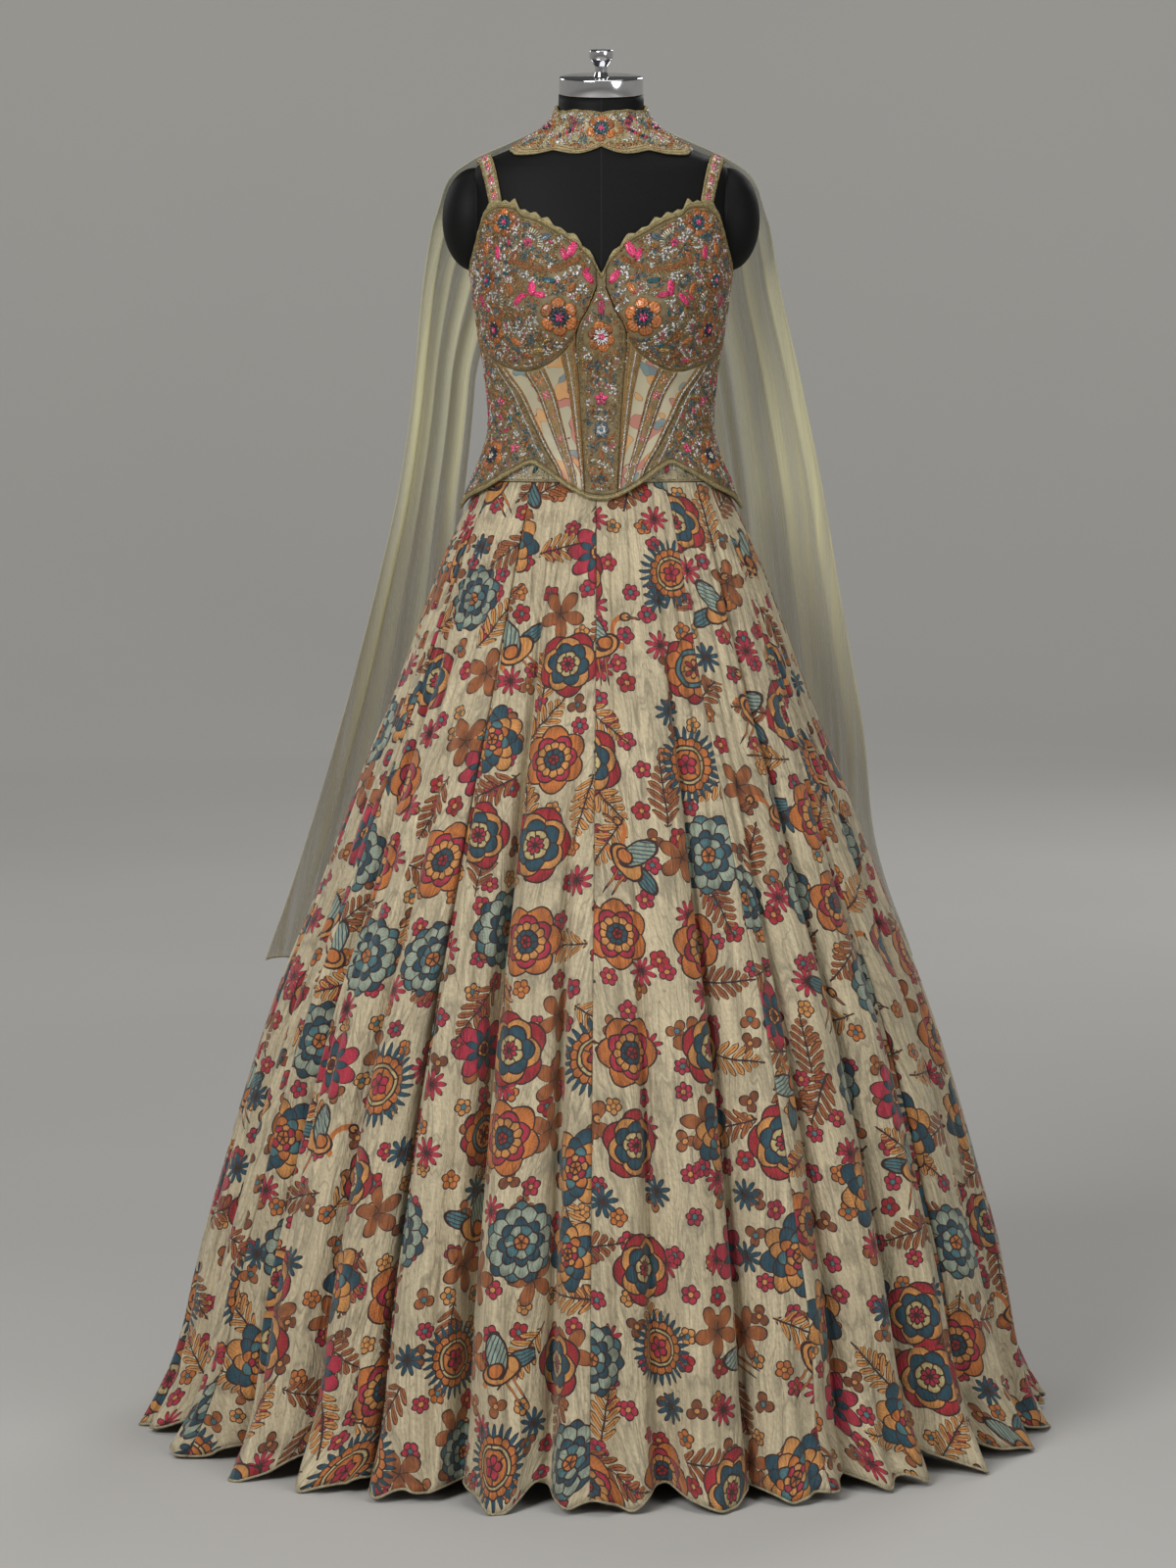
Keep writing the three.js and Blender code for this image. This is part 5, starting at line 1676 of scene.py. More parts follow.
def bead_cup(beads, side):
    """One cup: its edge rows, four flowers, a curved band, leaves, fans and sequins."""

    def put(x, z):
        return side * float(phi_at_x(x, z)), float(z)

    def mirror(path):
        return side * path[0], path[1]

    for v, color in ((0.022, GOLD), (0.05, COPPER)):
        phi, z = mirror(edge_path(cup_place, (0.02, 1), (v, v)))
        beads.line(SEED, phi, z, 1.8, (1.8, 1.8, 1.8), color)
    phi, z = mirror(edge_path(cup_place, (0.03, 1), (0.98, 0.98)))
    beads.line(BUGLE, phi, z, 2.0, (2.6, 1.2, 1.2), GOLD, sway=0.6)
    beads.flower(put(50, 1321), 23.5, 6, THREAD, NAVY, PINK)
    beads.flower(put(111, 1430), 17.5, 6, THREAD, PEACOCK, PINK)
    beads.flower(put(120, 1307), 17.5, 6, THREAD, NAVY, PINK)
    beads.flower(put(129, 1364), 15, 6, COPPER, PEACOCK, PINK)
    across = np.linspace(24, 102, 40)
    middle = 1388 - 14 * np.sin((across - 24) / 78 * math.pi) - (across - 24) * 0.02
    for step in (-4.5, -2.7, -0.9, 0.9, 2.7, 4.5):
        color = GOLD if abs(step) > 4 else THREAD
        height = middle + step
        phi = side * phi_at_x(across, height)
        beads.line(SEED, phi, height, 1.8, (1.9, 1.9, 1.7), color)
    beads.fan(put(84, 1406), 15, math.pi * (0.55 if side > 0 else -0.1), math.pi * 0.6)
    beads.small_flower(put(84, 1406), 6, PINK, PEACOCK)
    beads.fan(put(119, 1338), 12, math.pi * (0.6 if side > 0 else -0.15), math.pi * 0.55)
    for x, z, heading, length, color in (
        (16, 1366, 0.9, 14, PINK),
        (34, 1398, 2.0, 16, PINK),
        (43, 1392, 1.2, 12, PINK),
        (78, 1352, 1.4, 15, PINK),
        (92, 1340, 2.4, 14, PINK),
        (70, 1344, 0.3, 12, PINK),
        (102, 1352, 1.0, 13, THREAD),
        (96, 1294, 0.5, 13, THREAD),
        (72, 1284, 2.9, 12, GOLD),
        (84, 1278, 0.4, 12, COPPER),
        (60, 1360, 0.2, 12, PEACOCK),
        (36, 1352, 2.2, 12, THREAD),
        (64, 1412, 2.7, 12, SLATE),
        (100, 1388, 1.9, 13, THREAD),
        (118, 1395, 1.4, 13, PINK),
        (131, 1400, 1.7, 13, THREAD),
        (134, 1340, 1.3, 12, PINK),
    ):
        tilt = heading if side > 0 else math.pi - heading
        beads.leaf(put(x, z), tilt, length * 1.55, color)
    for x, z, radius, count in (
        (30, 1374, 7, 16),
        (24, 1350, 6, 14),
        (86, 1366, 6, 13),
        (50, 1290, 6, 12),
        (100, 1418, 5, 10),
        (106, 1376, 5, 9),
        (80, 1312, 6, 10),
        (58, 1378, 4, 8),
    ):
        beads.sparkles(put(x, z), radius, count)
    for number in range(150):
        x, z = beads.random.uniform(12, 140), beads.random.uniform(1268, 1432)
        p, q = put(x, z)
        inside = cup_foot(abs(p)) + 5 < q < top_at(abs(p)) - 5
        if not inside or not beads.free(np.array([p]), np.array([q]))[0]:
            continue
        heading = beads.random.uniform(0, math.pi)
        if number % 5 == 0:
            beads.sparkles((p, q), 4.5, 8)
        elif number % 5 < 3:
            color = (PINK, THREAD, COPPER, PEACOCK, GOLD, THREAD)[beads.random.integers(6)]
            beads.leaf((p, q), heading, beads.random.uniform(8, 12), color)
        else:
            beads.dashes((p, q), heading)
    beads.fill(lambda u, v: mirror(cup_place(u, v)), (0.02, 0.99), (0.03, 0.97), 2.3, GROUND_MIX)


def bead_front(beads, side):
    """A boned front panel: rows of beads along its channels, and small flowers down the middle one."""

    def down(u):
        phi, z = edge_path(lambda a, b: panel_place(FRONT_PANEL, a, b), (u, u), (0.02, 0.975))
        return side * phi, z

    for u in (0.02, 0.13, 0.34, 0.62, 0.87, 0.985):
        color = GOLD if u > 0.9 else COPPER
        beads.line(SEED, *down(u), 1.5, (1.5, 1.5, 1.5), color, lift=0.5)
    for u in (0.075, 0.385, 0.575, 0.93):
        beads.line(BUGLE, *down(u), 1.9, (3.0, 1.15, 1.15), SILVER, sway=0.55, lift=1.2)
    for u in (0.045, 0.105, 0.36, 0.41, 0.55, 0.60, 0.90, 0.955):
        beads.line(SEED, *down(u), 1.8, (1.8, 1.8, 1.6), GOLD, lift=0.9)
    phi, z = down(0.48)
    for share, radius, color in (
        (0.12, 3.2, PINK),
        (0.3, 4.2, PINK),
        (0.5, 5.2, THREAD),
        (0.72, 6, PINK),
        (0.9, 7, THREAD),
    ):
        at = int(share * (len(phi) - 1))
        beads.small_flower((float(phi[at]), float(z[at])), radius, color, SILVER)
    for share in (0.04, 0.2, 0.4, 0.6, 0.81, 0.97):
        at = int(share * (len(phi) - 1))
        beads.dashes((float(phi[at]), float(z[at])), 0.4, 3, 3.0)

    def place(u, v):
        phi, z = panel_place(FRONT_PANEL, u, v)
        return side * phi, z

    for u_range in ((0.36, 0.60), (0.0, 0.13), (0.87, 1.0)):
        beads.fill(place, u_range, (0.02, 0.98), 2.4, GROUND_MIX)


def bead_side(beads, side, panel):
    """A side or back panel: flowers, leaves, fans and a full ground."""

    def place(u, v):
        phi, z = panel_place(panel, u, v)
        return side * phi, z

    def put(u, v):
        p, q = place(np.array(u), np.array(v))
        return float(p), float(q)

    for u in (0.03, 0.97):
        beads.line(SEED, *edge_path(place, (u, u), (0.02, 0.98)), 1.8, EDGE_SEED, GOLD)
    if panel is SIDE_PANEL:
        beads.line(BUGLE, *edge_path(place, (0.07, 0.07), (0.03, 0.97)), 2.2, EDGE_BUGLE, SILVER, sway=0.3)
        beads.flower(put(0.62, 0.24), 19, 6, THREAD, NAVY, PEARL)
        motifs = ((0.3, 0.22), (0.32, 0.45), (0.75, 0.52), (0.4, 0.68), (0.75, 0.8), (0.3, 0.88))
    else:
        beads.flower(put(0.3, 0.2), 17, 6, THREAD, NAVY, PINK)
        beads.flower(put(0.72, 0.5), 18, 6, THREAD, PEACOCK, PINK)
        beads.flower(put(0.3, 0.8), 16, 6, THREAD, NAVY, PINK)
        motifs = [(u, v) for u in (0.15, 0.5, 0.85) for v in (0.15, 0.38, 0.62, 0.86)]
    for number, (u, v) in enumerate(motifs):
        p, q = put(u, v)
        if not beads.free(np.array([p]), np.array([q]))[0]:
            continue
        if number % 3 == 0:
            beads.small_flower((p, q), 6.5, PINK, SILVER)
        elif number % 3 == 1:
            beads.fan((p, q), 7, beads.random.uniform(0, 3), 2.2)
            beads.small_flower((p, q), 4, THREAD, PEACOCK)
        else:
            beads.sparkles((p, q), 6, 12)
    for _ in range(90 if panel is BACK_PANEL else 40):
        p, q = put(*beads.random.uniform(0.08, 0.92, 2))
        if beads.free(np.array([p]), np.array([q]))[0]:
            if beads.random.uniform() < 0.45:
                color = (PINK, THREAD, COPPER, PEACOCK, GOLD)[beads.random.integers(5)]
                beads.leaf((p, q), beads.random.uniform(0, math.pi), beads.random.uniform(8, 12), color)
            else:
                beads.dashes((p, q), beads.random.uniform(0, math.pi))
    beads.fill(place, (0.02, 0.98), (0.02, 0.98), 3.4 if panel is BACK_PANEL else 2.6, GROUND_MIX)


def bead_centre(beads):
    """The centre panel: a big flower, smaller ones down to the point, and slanted rows."""
    for u in (0.04, 0.96):
        beads.line(SEED, *edge_path(centre_place, (u, u), (0.02, 0.97)), 1.7, EDGE_SEED, GOLD)
    for u in (0.12, 0.88):
        beads.line(BUGLE, *edge_path(centre_place, (u, u), (0.02, 0.72)), 2.0, EDGE_BUGLE, GOLD, sway=0.6)
    beads.flower((0.0, 1299.0), 19, 6, THREAD, SILVER, PINK)
    beads.leaf((0.0, 1331.0), math.pi / 2, 20, PINK)
    beads.flower((0.0, 1189.0), 11, 6, SLATE, SILVER, PEACOCK)
    beads.small_flower((0.0, 1226.0), 9, PINK, SILVER)
    beads.leaf((0.0, 1159.0), math.pi / 2, 15, THREAD)
    beads.leaf((0.0, 1140.0), math.pi / 2, 10, COPPER)
    for z, width in ((1268, 17), (1258, 16), (1246, 15), (1208, 13), (1172, 11), (1128, 8)):
        for side in (-1, 1):
            for share in (0.35, 0.75):
                p = side * float(phi_at_x(width * share, z))
                beads.dashes((p, z + 3 * share), side * 0.5, 4, 3.4, SLATE if share < 0.5 else COPPER)
    beads.fill(centre_place, (0.05, 0.95), (0.02, 0.96), 2.5, GROUND_MIX)


def leafy_edge(phi):
    """How far the neckline's binding reaches out in small pointed leaves, in front only."""
    t = np.abs(phi) * 2.25 / 13.0
    point = 1 - np.abs(2 * (t - np.floor(t)) - 1)
    uneven = 0.7 + 0.3 * np.sin(np.floor(t) * 2.4)
    return 6.6 * uneven * point ** 0.85 * smooth(88, 74, np.abs(phi)) * smooth(0.4, 4, np.abs(phi))


def sew_binding(name, node, edge_at, direction, material, reach=None):
    around = np.arange(BINDING_COLUMNS) * 360 / BINDING_COLUMNS - 180
    phi, v = np.meshgrid(around, np.linspace(0, 1, BINDING_ROWS))
    if direction < 0:
        v = v[::-1]
    width = BINDING_WIDTH + (reach(phi) if reach else 0)
    z = edge_at(np.abs(phi)) + direction * (SEAM_GAP + v * width)
    round_off = np.sqrt(np.clip(1 - (2 * v - 1) ** 2 * 0.9, 0, 1))
    inside = bodice_inside(z)
    outer = off_form(phi, z, inside + (BODICE_WALL + BINDING_EXTRA) * (0.45 + 0.55 * round_off))
    inner = off_form(phi, z, inside)
    piece = wall(name, outer, inner, cloth_uvs(outer), ring=True)
    finish_piece(piece, "gold_binding", material, node)
    round_it = grid_area(outer)[1] * MM


def build_bodice():
    dense = embroidered_cloth("beaded_ground", (0.18, 0.135, 0.062))
    boned = boned_panel("boned_ground", (0.47, 0.42, 0.28), (0.34, 0.22, 0.08))
    gold = bound_edge("gold_binding", (0.34, 0.28, 0.13))
    sew_panel("bodice_centre", "choli_front_centre", centre_place, 1, (25, 90), dense)
    for side, word in SIDES:
        panels = (
            ("cup", cup_place, (64, 48), dense, None),
            ("front", lambda u, v: panel_place(FRONT_PANEL, u, v), (64, 40), boned, channel_lift),
            ("side", lambda u, v: panel_place(SIDE_PANEL, u, v), (36, 48), dense, None),
            ("back", lambda u, v: panel_place(BACK_PANEL, u, v), (48, 48), dense, None),
        )
        for part, place, shape, material, relief in panels:
            sew_panel(f"bodice_{part}_{word}", f"choli_{part}_{word}", place, side, shape, material, relief)
    sew_binding("neckline_binding", "choli_neck_binding", top_at, 1, gold, leafy_edge)
    sew_binding("bodice_hem_binding", "choli_hem_binding", hem_at, -1, gold)


def edge_beads(beads, edge_at, direction, off, color, limit=180):
    phi = np.linspace(-limit, limit, 700)
    z = edge_at(np.abs(phi)) + direction * off
    beads.line(SEED, phi, z, 1.8, (1.7, 1.7, 1.7), color, lift=0.9, claim=0)


def build_beading():
    templates = bead_templates()
    glass = bead_glass("bead_glass")
    for side, word in SIDES:
        cup = Beading(bodice_surface, 20 + side, BODICE_DEGREE)
        bead_cup(cup, side)
        cup.build(f"cup_beads_{word}", templates, glass)
        sides = Beading(bodice_surface, 30 + side, BODICE_DEGREE)
        bead_front(sides, side)
        bead_side(sides, side, SIDE_PANEL)
        sides.build(f"front_beads_{word}", templates, glass)
        back = Beading(bodice_surface, 40 + side, BODICE_DEGREE)
        bead_side(back, side, BACK_PANEL)
        back.build(f"back_beads_{word}", templates, glass)
    centre = Beading(bodice_surface, 50, BODICE_DEGREE)
    bead_centre(centre)
    edge_beads(centre, top_at, 1, 2.0, GOLD)
    edge_beads(centre, top_at, 1, 4.6, OLIVE)
    edge_beads(centre, hem_at, -1, 1.6, GOLD)
    edge_beads(centre, hem_at, -1, 4.4, OLIVE)
    centre.build("centre_beads", templates, glass)
    bead_waistband(templates, glass)
    bead_straps(templates, glass)
    bead_collar(templates, glass)


# Waistband, straps and collar

def waistband_surface(phi, z, lift=0.0):
    return off_form(phi, z, 1 + WAISTBAND_WALL + lift)


def build_waistband():
    columns, rows = 180, 7
    height = np.linspace(WAISTBAND_FOOT, WAISTBAND_TOP, rows)
    phi, z = np.meshgrid(np.arange(columns) * 360 / columns - 180, height)
    outer = waistband_surface(phi, z)
    inner = waistband_surface(phi, z, -WAISTBAND_WALL)
    piece = wall("beaded_waistband", outer, inner, cloth_uvs(outer), ring=True)
    ground = embroidered_cloth("waistband_ground", (0.33, 0.28, 0.17))
    finish_piece(piece, "beaded_embroidery", ground, "skirt_waistband")
    declare_sheet(outer)


def waistband_front(u, v):
    return u * 180 - 90, WAISTBAND_FOOT + v * (WAISTBAND_TOP - WAISTBAND_FOOT)


def bead_waistband(templates, glass):
    beads = Beading(waistband_surface, 60, 2.2)
    for z, color in ((1130.5, GOLD), (1155, GOLD)):
        phi = np.linspace(-180, 180, 500)
        beads.line(SEED, phi, np.full(500, float(z)), 2.4, EDGE_SEED, color)
    for phi in range(-72, 73, 12):
        beads.sparkles((phi, 1143.0), 6, 9)
        beads.leaf((phi + 6, 1143.0), 1.2, 12, (PINK, PEACOCK)[phi % 24 // 12])
    mix = (
        (0.3, SEED, OLIVE, (2.0, 2.0, 1.6)),
        (0.3, SEED, GOLD, (2.0, 2.0, 1.6)),
        (0.2, SEQUIN, SILVER, (2.8, 2.8, 2.8)),
    )
    beads.fill(waistband_front, (0, 1), (0.08, 0.92), 3.0, mix)
    beads.build("waistband_beads", templates, glass)


def ridge_height(x):
    """The height of the form's ridge at a distance from its centre plane."""
    low = np.full(np.shape(x), 1425.0)
    high = np.full(np.shape(x), 1560.0)
    for _ in range(30):
        middle = (low + high) / 2
        wider = read_table(FORM, "z", middle, "half") > x
        low = np.where(wider, middle, low)
        high = np.where(wider, high, middle)
    return low


def strap_surface(side):
    """A strap's surface: millimetres across it, and 0 to 100 along it."""

    def surface(across, along, lift=0.0):
        v = np.asarray(along, float) / 100
        over_front = np.minimum(1, v / 0.42)
        over_back = np.maximum(0, (v - 0.42) / 0.58)
        x = 122 + 16 * over_front - 38 * over_back + across
        ridge = ridge_height(x) - 0.4
        behind = over_back > 0
        rise = np.where(behind, np.cos(np.pi / 2 * over_back), np.sin(np.pi / 2 * over_front))
        edge = top_at(np.where(behind, 180 - phi_at_x(x, 1370.0), phi_at_x(x, 1445.0)))
        low = edge + BINDING_WIDTH + 1.8
        z = low + (ridge - low) * rise
        phi = phi_at_x(x, z)
        turned = np.where(behind, 180 - phi, phi)
        return off_form(side * turned, z, STRAP_EASE + STRAP_WALL + lift)

    return surface


def build_straps():
    cloth = embroidered_cloth("strap_ground", (0.36, 0.29, 0.14))
    half = STRAP_WIDTH / 2
    for side, word in SIDES:
        surface = strap_surface(side)
        across, along = np.meshgrid(np.linspace(-half, half, 9), np.linspace(0, 100, 90))
        if side < 0:
            across = across[:, ::-1]
        crown = 0.5 * (1 - (across / half) ** 2)
        outer, inner = surface(across, along, crown), surface(across, along, -STRAP_WALL)
        piece = wall(f"strap_{word}", outer, inner, cloth_uvs(outer))
        finish_piece(piece, "beaded_embroidery", cloth, f"choli_strap_{word}")
        declare_sheet(outer)


def bead_straps(templates, glass):
    for side, word in SIDES:
        beads = Beading(strap_surface(side), 70 + side, 1.0)
        along = np.linspace(1, 99, 200)
        for across, color in ((-6, GOLD), (6, GOLD), (-4.6, OLIVE), (4.6, OLIVE)):
            beads.line(SEED, np.full(200, float(across)), along, 1.9, EDGE_SEED, color, claim=0)
        for number, at in enumerate(np.linspace(3, 97, 29)):
            color = (PINK, THREAD, PEARL)[number % 3]
            heart = (SILVER, PEACOCK, PINK)[number % 3]
            beads.small_flower((0.0, float(at)), 5.0, color, heart)
            beads.sew(SEQUIN, (-3.4, 3.4), float(at) + 1.7, 0.0, (2.4, 2.4, 2.2), SILVER, 0.6)
        beads.build(f"strap_beads_{word}", templates, glass)


def collar_foot(phi):
    scallop = 2.2 * np.abs(np.sin(np.radians(phi) * 6.5)) ** 0.7
    return read_table(COLLAR_FOOT, "phi", np.abs(phi), "z") - scallop


def collar_top(phi):
    return read_table(COLLAR_TOP, "phi", np.abs(phi), "z") + 1.4 * np.abs(np.sin(np.radians(phi) * 7.5))


def collar_surface(phi, z, lift=0.0):
    return off_form(phi, z, COLLAR_EASE + COLLAR_WALL + lift)


def collar_place(u, v):
    phi = (2 * u - 1) * (180 - COLLAR_OPENING)
    return phi, collar_foot(phi) + (collar_top(phi) - collar_foot(phi)) * v


def build_collar():
    u, v = np.meshgrid(np.linspace(0, 1, 241), np.linspace(0, 1, 17))
    phi, z = collar_place(u, v)
    edge = 0.5 * np.exp(-(((np.abs(v - 0.5) - 0.47) / 0.03) ** 2))
    outer, inner = collar_surface(phi, z, edge), collar_surface(phi, z, -COLLAR_WALL)
    piece = wall("beaded_collar", outer, inner, cloth_uvs(outer))
    finish_piece(piece, "beaded_embroidery", embroidered_cloth("collar_ground", (0.34, 0.28, 0.14)), "collar")
    declare_sheet(outer)


def bead_collar(templates, glass):
    beads = Beading(collar_surface, 80, 1.2)
    for v, color in ((0.03, GOLD), (0.08, COPPER), (0.93, OLIVE), (0.975, GOLD)):
        beads.line(SEED, *edge_path(collar_place, (0.005, 0.995), (v, v), 400), 1.8, EDGE_SEED, color)
    beads.flower((0.0, 1540.0), 17.5, 6, THREAD, PEACOCK, PINK)
    for side in (-1, 1):
        beads.flower((side * 62.0, 1541.0), 12, 6, THREAD, NAVY, PINK)
        beads.flower((side * 128.0, 1542.0), 12, 6, THREAD, PEACOCK, PINK)
        for phi in (26, 95, 156):
            for row in range(6):
                for arm in (-1, 1):
                    p = side * (phi + 2.2 * row * 0.9)
                    color = (PINK, NAVY, PINK, THREAD, NAVY, PINK)[row]
                    beads.dashes((p, 1541.0 + arm * (3 + row * 1.9)), arm * 0.8 * side, 4, 5.0, color)
        for phi in (22, 44, 80, 110, 145, 172):
            beads.sparkles((side * float(phi), 1529.0), 5, 9)
            beads.sparkles((side * float(phi + 3), 1554.0), 4, 7)
        for phi in (18, 50, 76, 112, 142):
            beads.leaf((side * float(phi), 1520.0), 0.4, 9, THREAD)
    beads.fill(collar_place, (0.01, 0.99), (0.08, 0.94), 2.4, GROUND_MIX)
    beads.build("collar_beads", templates, glass)


# The net

NET_FOLDS = 4
NET_FOLD_DEPTH = 9
# Each trail's sections, its side, and its small folds: how many, how deep and how far along
NET_LOOKS = {
    "left": {
        "sections": NET_LEFT,
        "side": -1,
        "small": ((7.3, 2.4, 0.7), (13.1, 1.3, 2.2), (22.7, 0.7, 4.1)),
    },
    "right": {
        "sections": NET_RIGHT,
        "side": 1,
        "small": ((6.4, 2.2, 1.9), (14.2, 1.2, 0.4), (21.3, 0.8, 3.0)),
    },
}


def net_grid(sections, side, small, columns, rows):
    """A trail's outer points: sewn on the collar, smooth on the shoulder, folded where it hangs."""
    oval = {**sections, "front": sections["back"], "square": np.full(len(sections["z"]), 2.1)}
    low, high = sections["z"][0], NET_TOP
    v = np.linspace(0, 1, rows)
    u, z = np.meshgrid(np.linspace(0, 1, columns), low + (high - low) * (1 - (1 - v) ** 1.35))
    free = 1 - smooth(NET_FREE, NET_ON_FORM, z)
    turn = math.tau * NET_FOLDS * u
    along = u + free * 0.021 * np.sin(turn)
    start, end = read_table(oval, "z", z, "start"), read_table(oval, "z", z, "end")
    phi = start + (end - start) * along
    hang = smooth(NET_ON_FORM, 1200, z)
    wave = free * NET_FOLD_DEPTH * (0.5 + 0.5 * np.cos(turn))
    for rate, depth, phase in small:
        sway = 0.5 * np.sin(z / 190 + phase)
        wave = wave + hang * depth * (0.5 + 0.5 * np.cos(math.tau * rate * 0.5 * u + phase + sway))

    def surface(at_phi, at_z):
        return oval_point(oval, at_phi, at_z)

    p = surface(phi, z) + surface_normal(surface, phi, z) * wave[..., None]
    sewn = off_form(phi, z, COLLAR_EASE + COLLAR_WALL + NET_SEWN_GAP + NET_WALL)
    on_collar = smooth(1526, NET_TOP, z)[..., None]
    p = p + (sewn - p) * on_collar
    p[..., 2] += 7 * np.sin(u * 9.0 + 1.0) * smooth(620, 530, z)
    if side < 0:
        p = p[:, ::-1] * np.array([-1, 1, 1])
    return p


def build_nets():
    cover = soft_net("olive_net", (0.62, 0.585, 0.33), 0.36)
    band = bound_edge("net_edge", (0.50, 0.42, 0.20))
    for word, look in NET_LOOKS.items():
        outer = net_grid(look["sections"], look["side"], look["small"], NET_COLUMNS, NET_ROWS)
        inner = outer - grid_normals(outer) * NET_WALL
        piece = wall(f"net_{word}", outer, inner, cloth_uvs(outer))
        finish_piece(piece, "olive_net", cover, f"net_trail_{word}")
        line = (outer[0] + inner[0]) / 2
        edge = tube(f"net_hem_{word}", line, 0.9, 6)
        finish_piece(edge, "olive_net", band)
        declare_sheet(outer)


# The form

def build_form():
    jersey = black_jersey("form_jersey")
    foot = FORM["z"][0]
    z = np.unique(np.concatenate([np.linspace(foot, NECK_TOP, FORM_ROWS), FORM["z"]]))
    phi, z = np.meshgrid(np.arange(FORM_COLUMNS) * 360 / FORM_COLUMNS - 180, z)
    rings = form_point(phi, z)
    torso = new_mesh_object("form_torso", rings.reshape(-1, 3), ring_faces(FORM_COLUMNS, len(rings)))
    finish_piece(torso, "form_cloth", jersey, "form_body")
    for side, word in SIDES:
        bpy.ops.object.select_all(action="DESELECT")
        bpy.ops.mesh.primitive_uv_sphere_add(
            segments=64,
            ring_count=32,
            radius=1,
            location=(side * ARM_CAP["x"] * MM, ARM_CAP["y"] * MM, ARM_CAP["z"] * MM),
            scale=(ARM_CAP["wide"] * MM, ARM_CAP["deep"] * MM, ARM_CAP["high"] * MM),
        )
        bpy.ops.object.transform_apply(location=True, rotation=True, scale=True)
        bpy.ops.object.shade_smooth()
        cap = bpy.context.object
        cap.name = f"form_arm_cap_{word}"
        finish_piece(cap, "form_cloth", jersey)
    build_neck_cap()
    metal = painted_stand("stand_metal")
    for node in ("stand_pole", "stand_base"):
        piece = bpy.data.objects[node]
        piece.data.materials.clear()
        piece.data.materials.append(metal)


def turned_part(low_radius, high_radius, foot, head, bevel):
    """A round part of the neck's fitting between two heights, with rounded edges."""
    bpy.ops.object.select_all(action="DESELECT")
    bpy.ops.mesh.primitive_cone_add(
        vertices=96,
        radius1=low_radius * MM,
        radius2=high_radius * MM,
        depth=(head - foot) * MM,
        location=(0, 0, (head + foot) / 2 * MM),
    )
    part = bpy.context.object
    if bevel:
        modifier = part.modifiers.new("bevel", "BEVEL")
        modifier.width = bevel * MM
        modifier.segments = 4
        modifier.limit_method = "ANGLE"
        bpy.ops.object.modifier_apply(modifier=modifier.name)
    return part


def set_on_neck(parts, name, node, height, material):
    """Joins round parts and stands them on the neck's leaning cut."""
    bpy.ops.object.select_all(action="DESELECT")
    for part in parts:
        part.select_set(True)
    bpy.context.view_layer.objects.active = parts[0]
    if len(parts) > 1:
        bpy.ops.object.join()
    piece = bpy.context.object
    piece.name = name
    bpy.ops.object.transform_apply(location=True, rotation=True, scale=True)
    tilt = math.radians(NECK_TILT)
    base = (NECK_TOP + 0.4) * MM
    piece.rotation_euler = (tilt, 0, 0)
    piece.location = (0, -height * MM * math.sin(tilt), base + height * MM * math.cos(tilt))
    bpy.ops.object.transform_apply(location=True, rotation=True, scale=True)
    bpy.ops.object.shade_smooth_by_angle(angle=math.radians(40))
    finish_piece(piece, "chrome", material, node)


def build_neck_cap():
    chrome = polished_chrome("chrome")
    cap = [turned_part(CAP_RADIUS, CAP_RADIUS, 0, CAP_HEIGHT, 2)]
    set_on_neck(cap, "chrome_neck_cap", "form_neck_cap", 0, chrome)
    knob = [
        turned_part(9, 7.2, 0, 5, 0),
        turned_part(7.2, 7.2, 4.5, 12, 0),
        turned_part(7.2, 13.4, 11.5, 20.5, 0.8),
        turned_part(14, 14, 20, KNOB_HEIGHT, 1.5),
    ]
    set_on_neck(knob, "chrome_neck_knob", "form_neck_knob", CAP_HEIGHT + SEAM_GAP, chrome)


# The stage

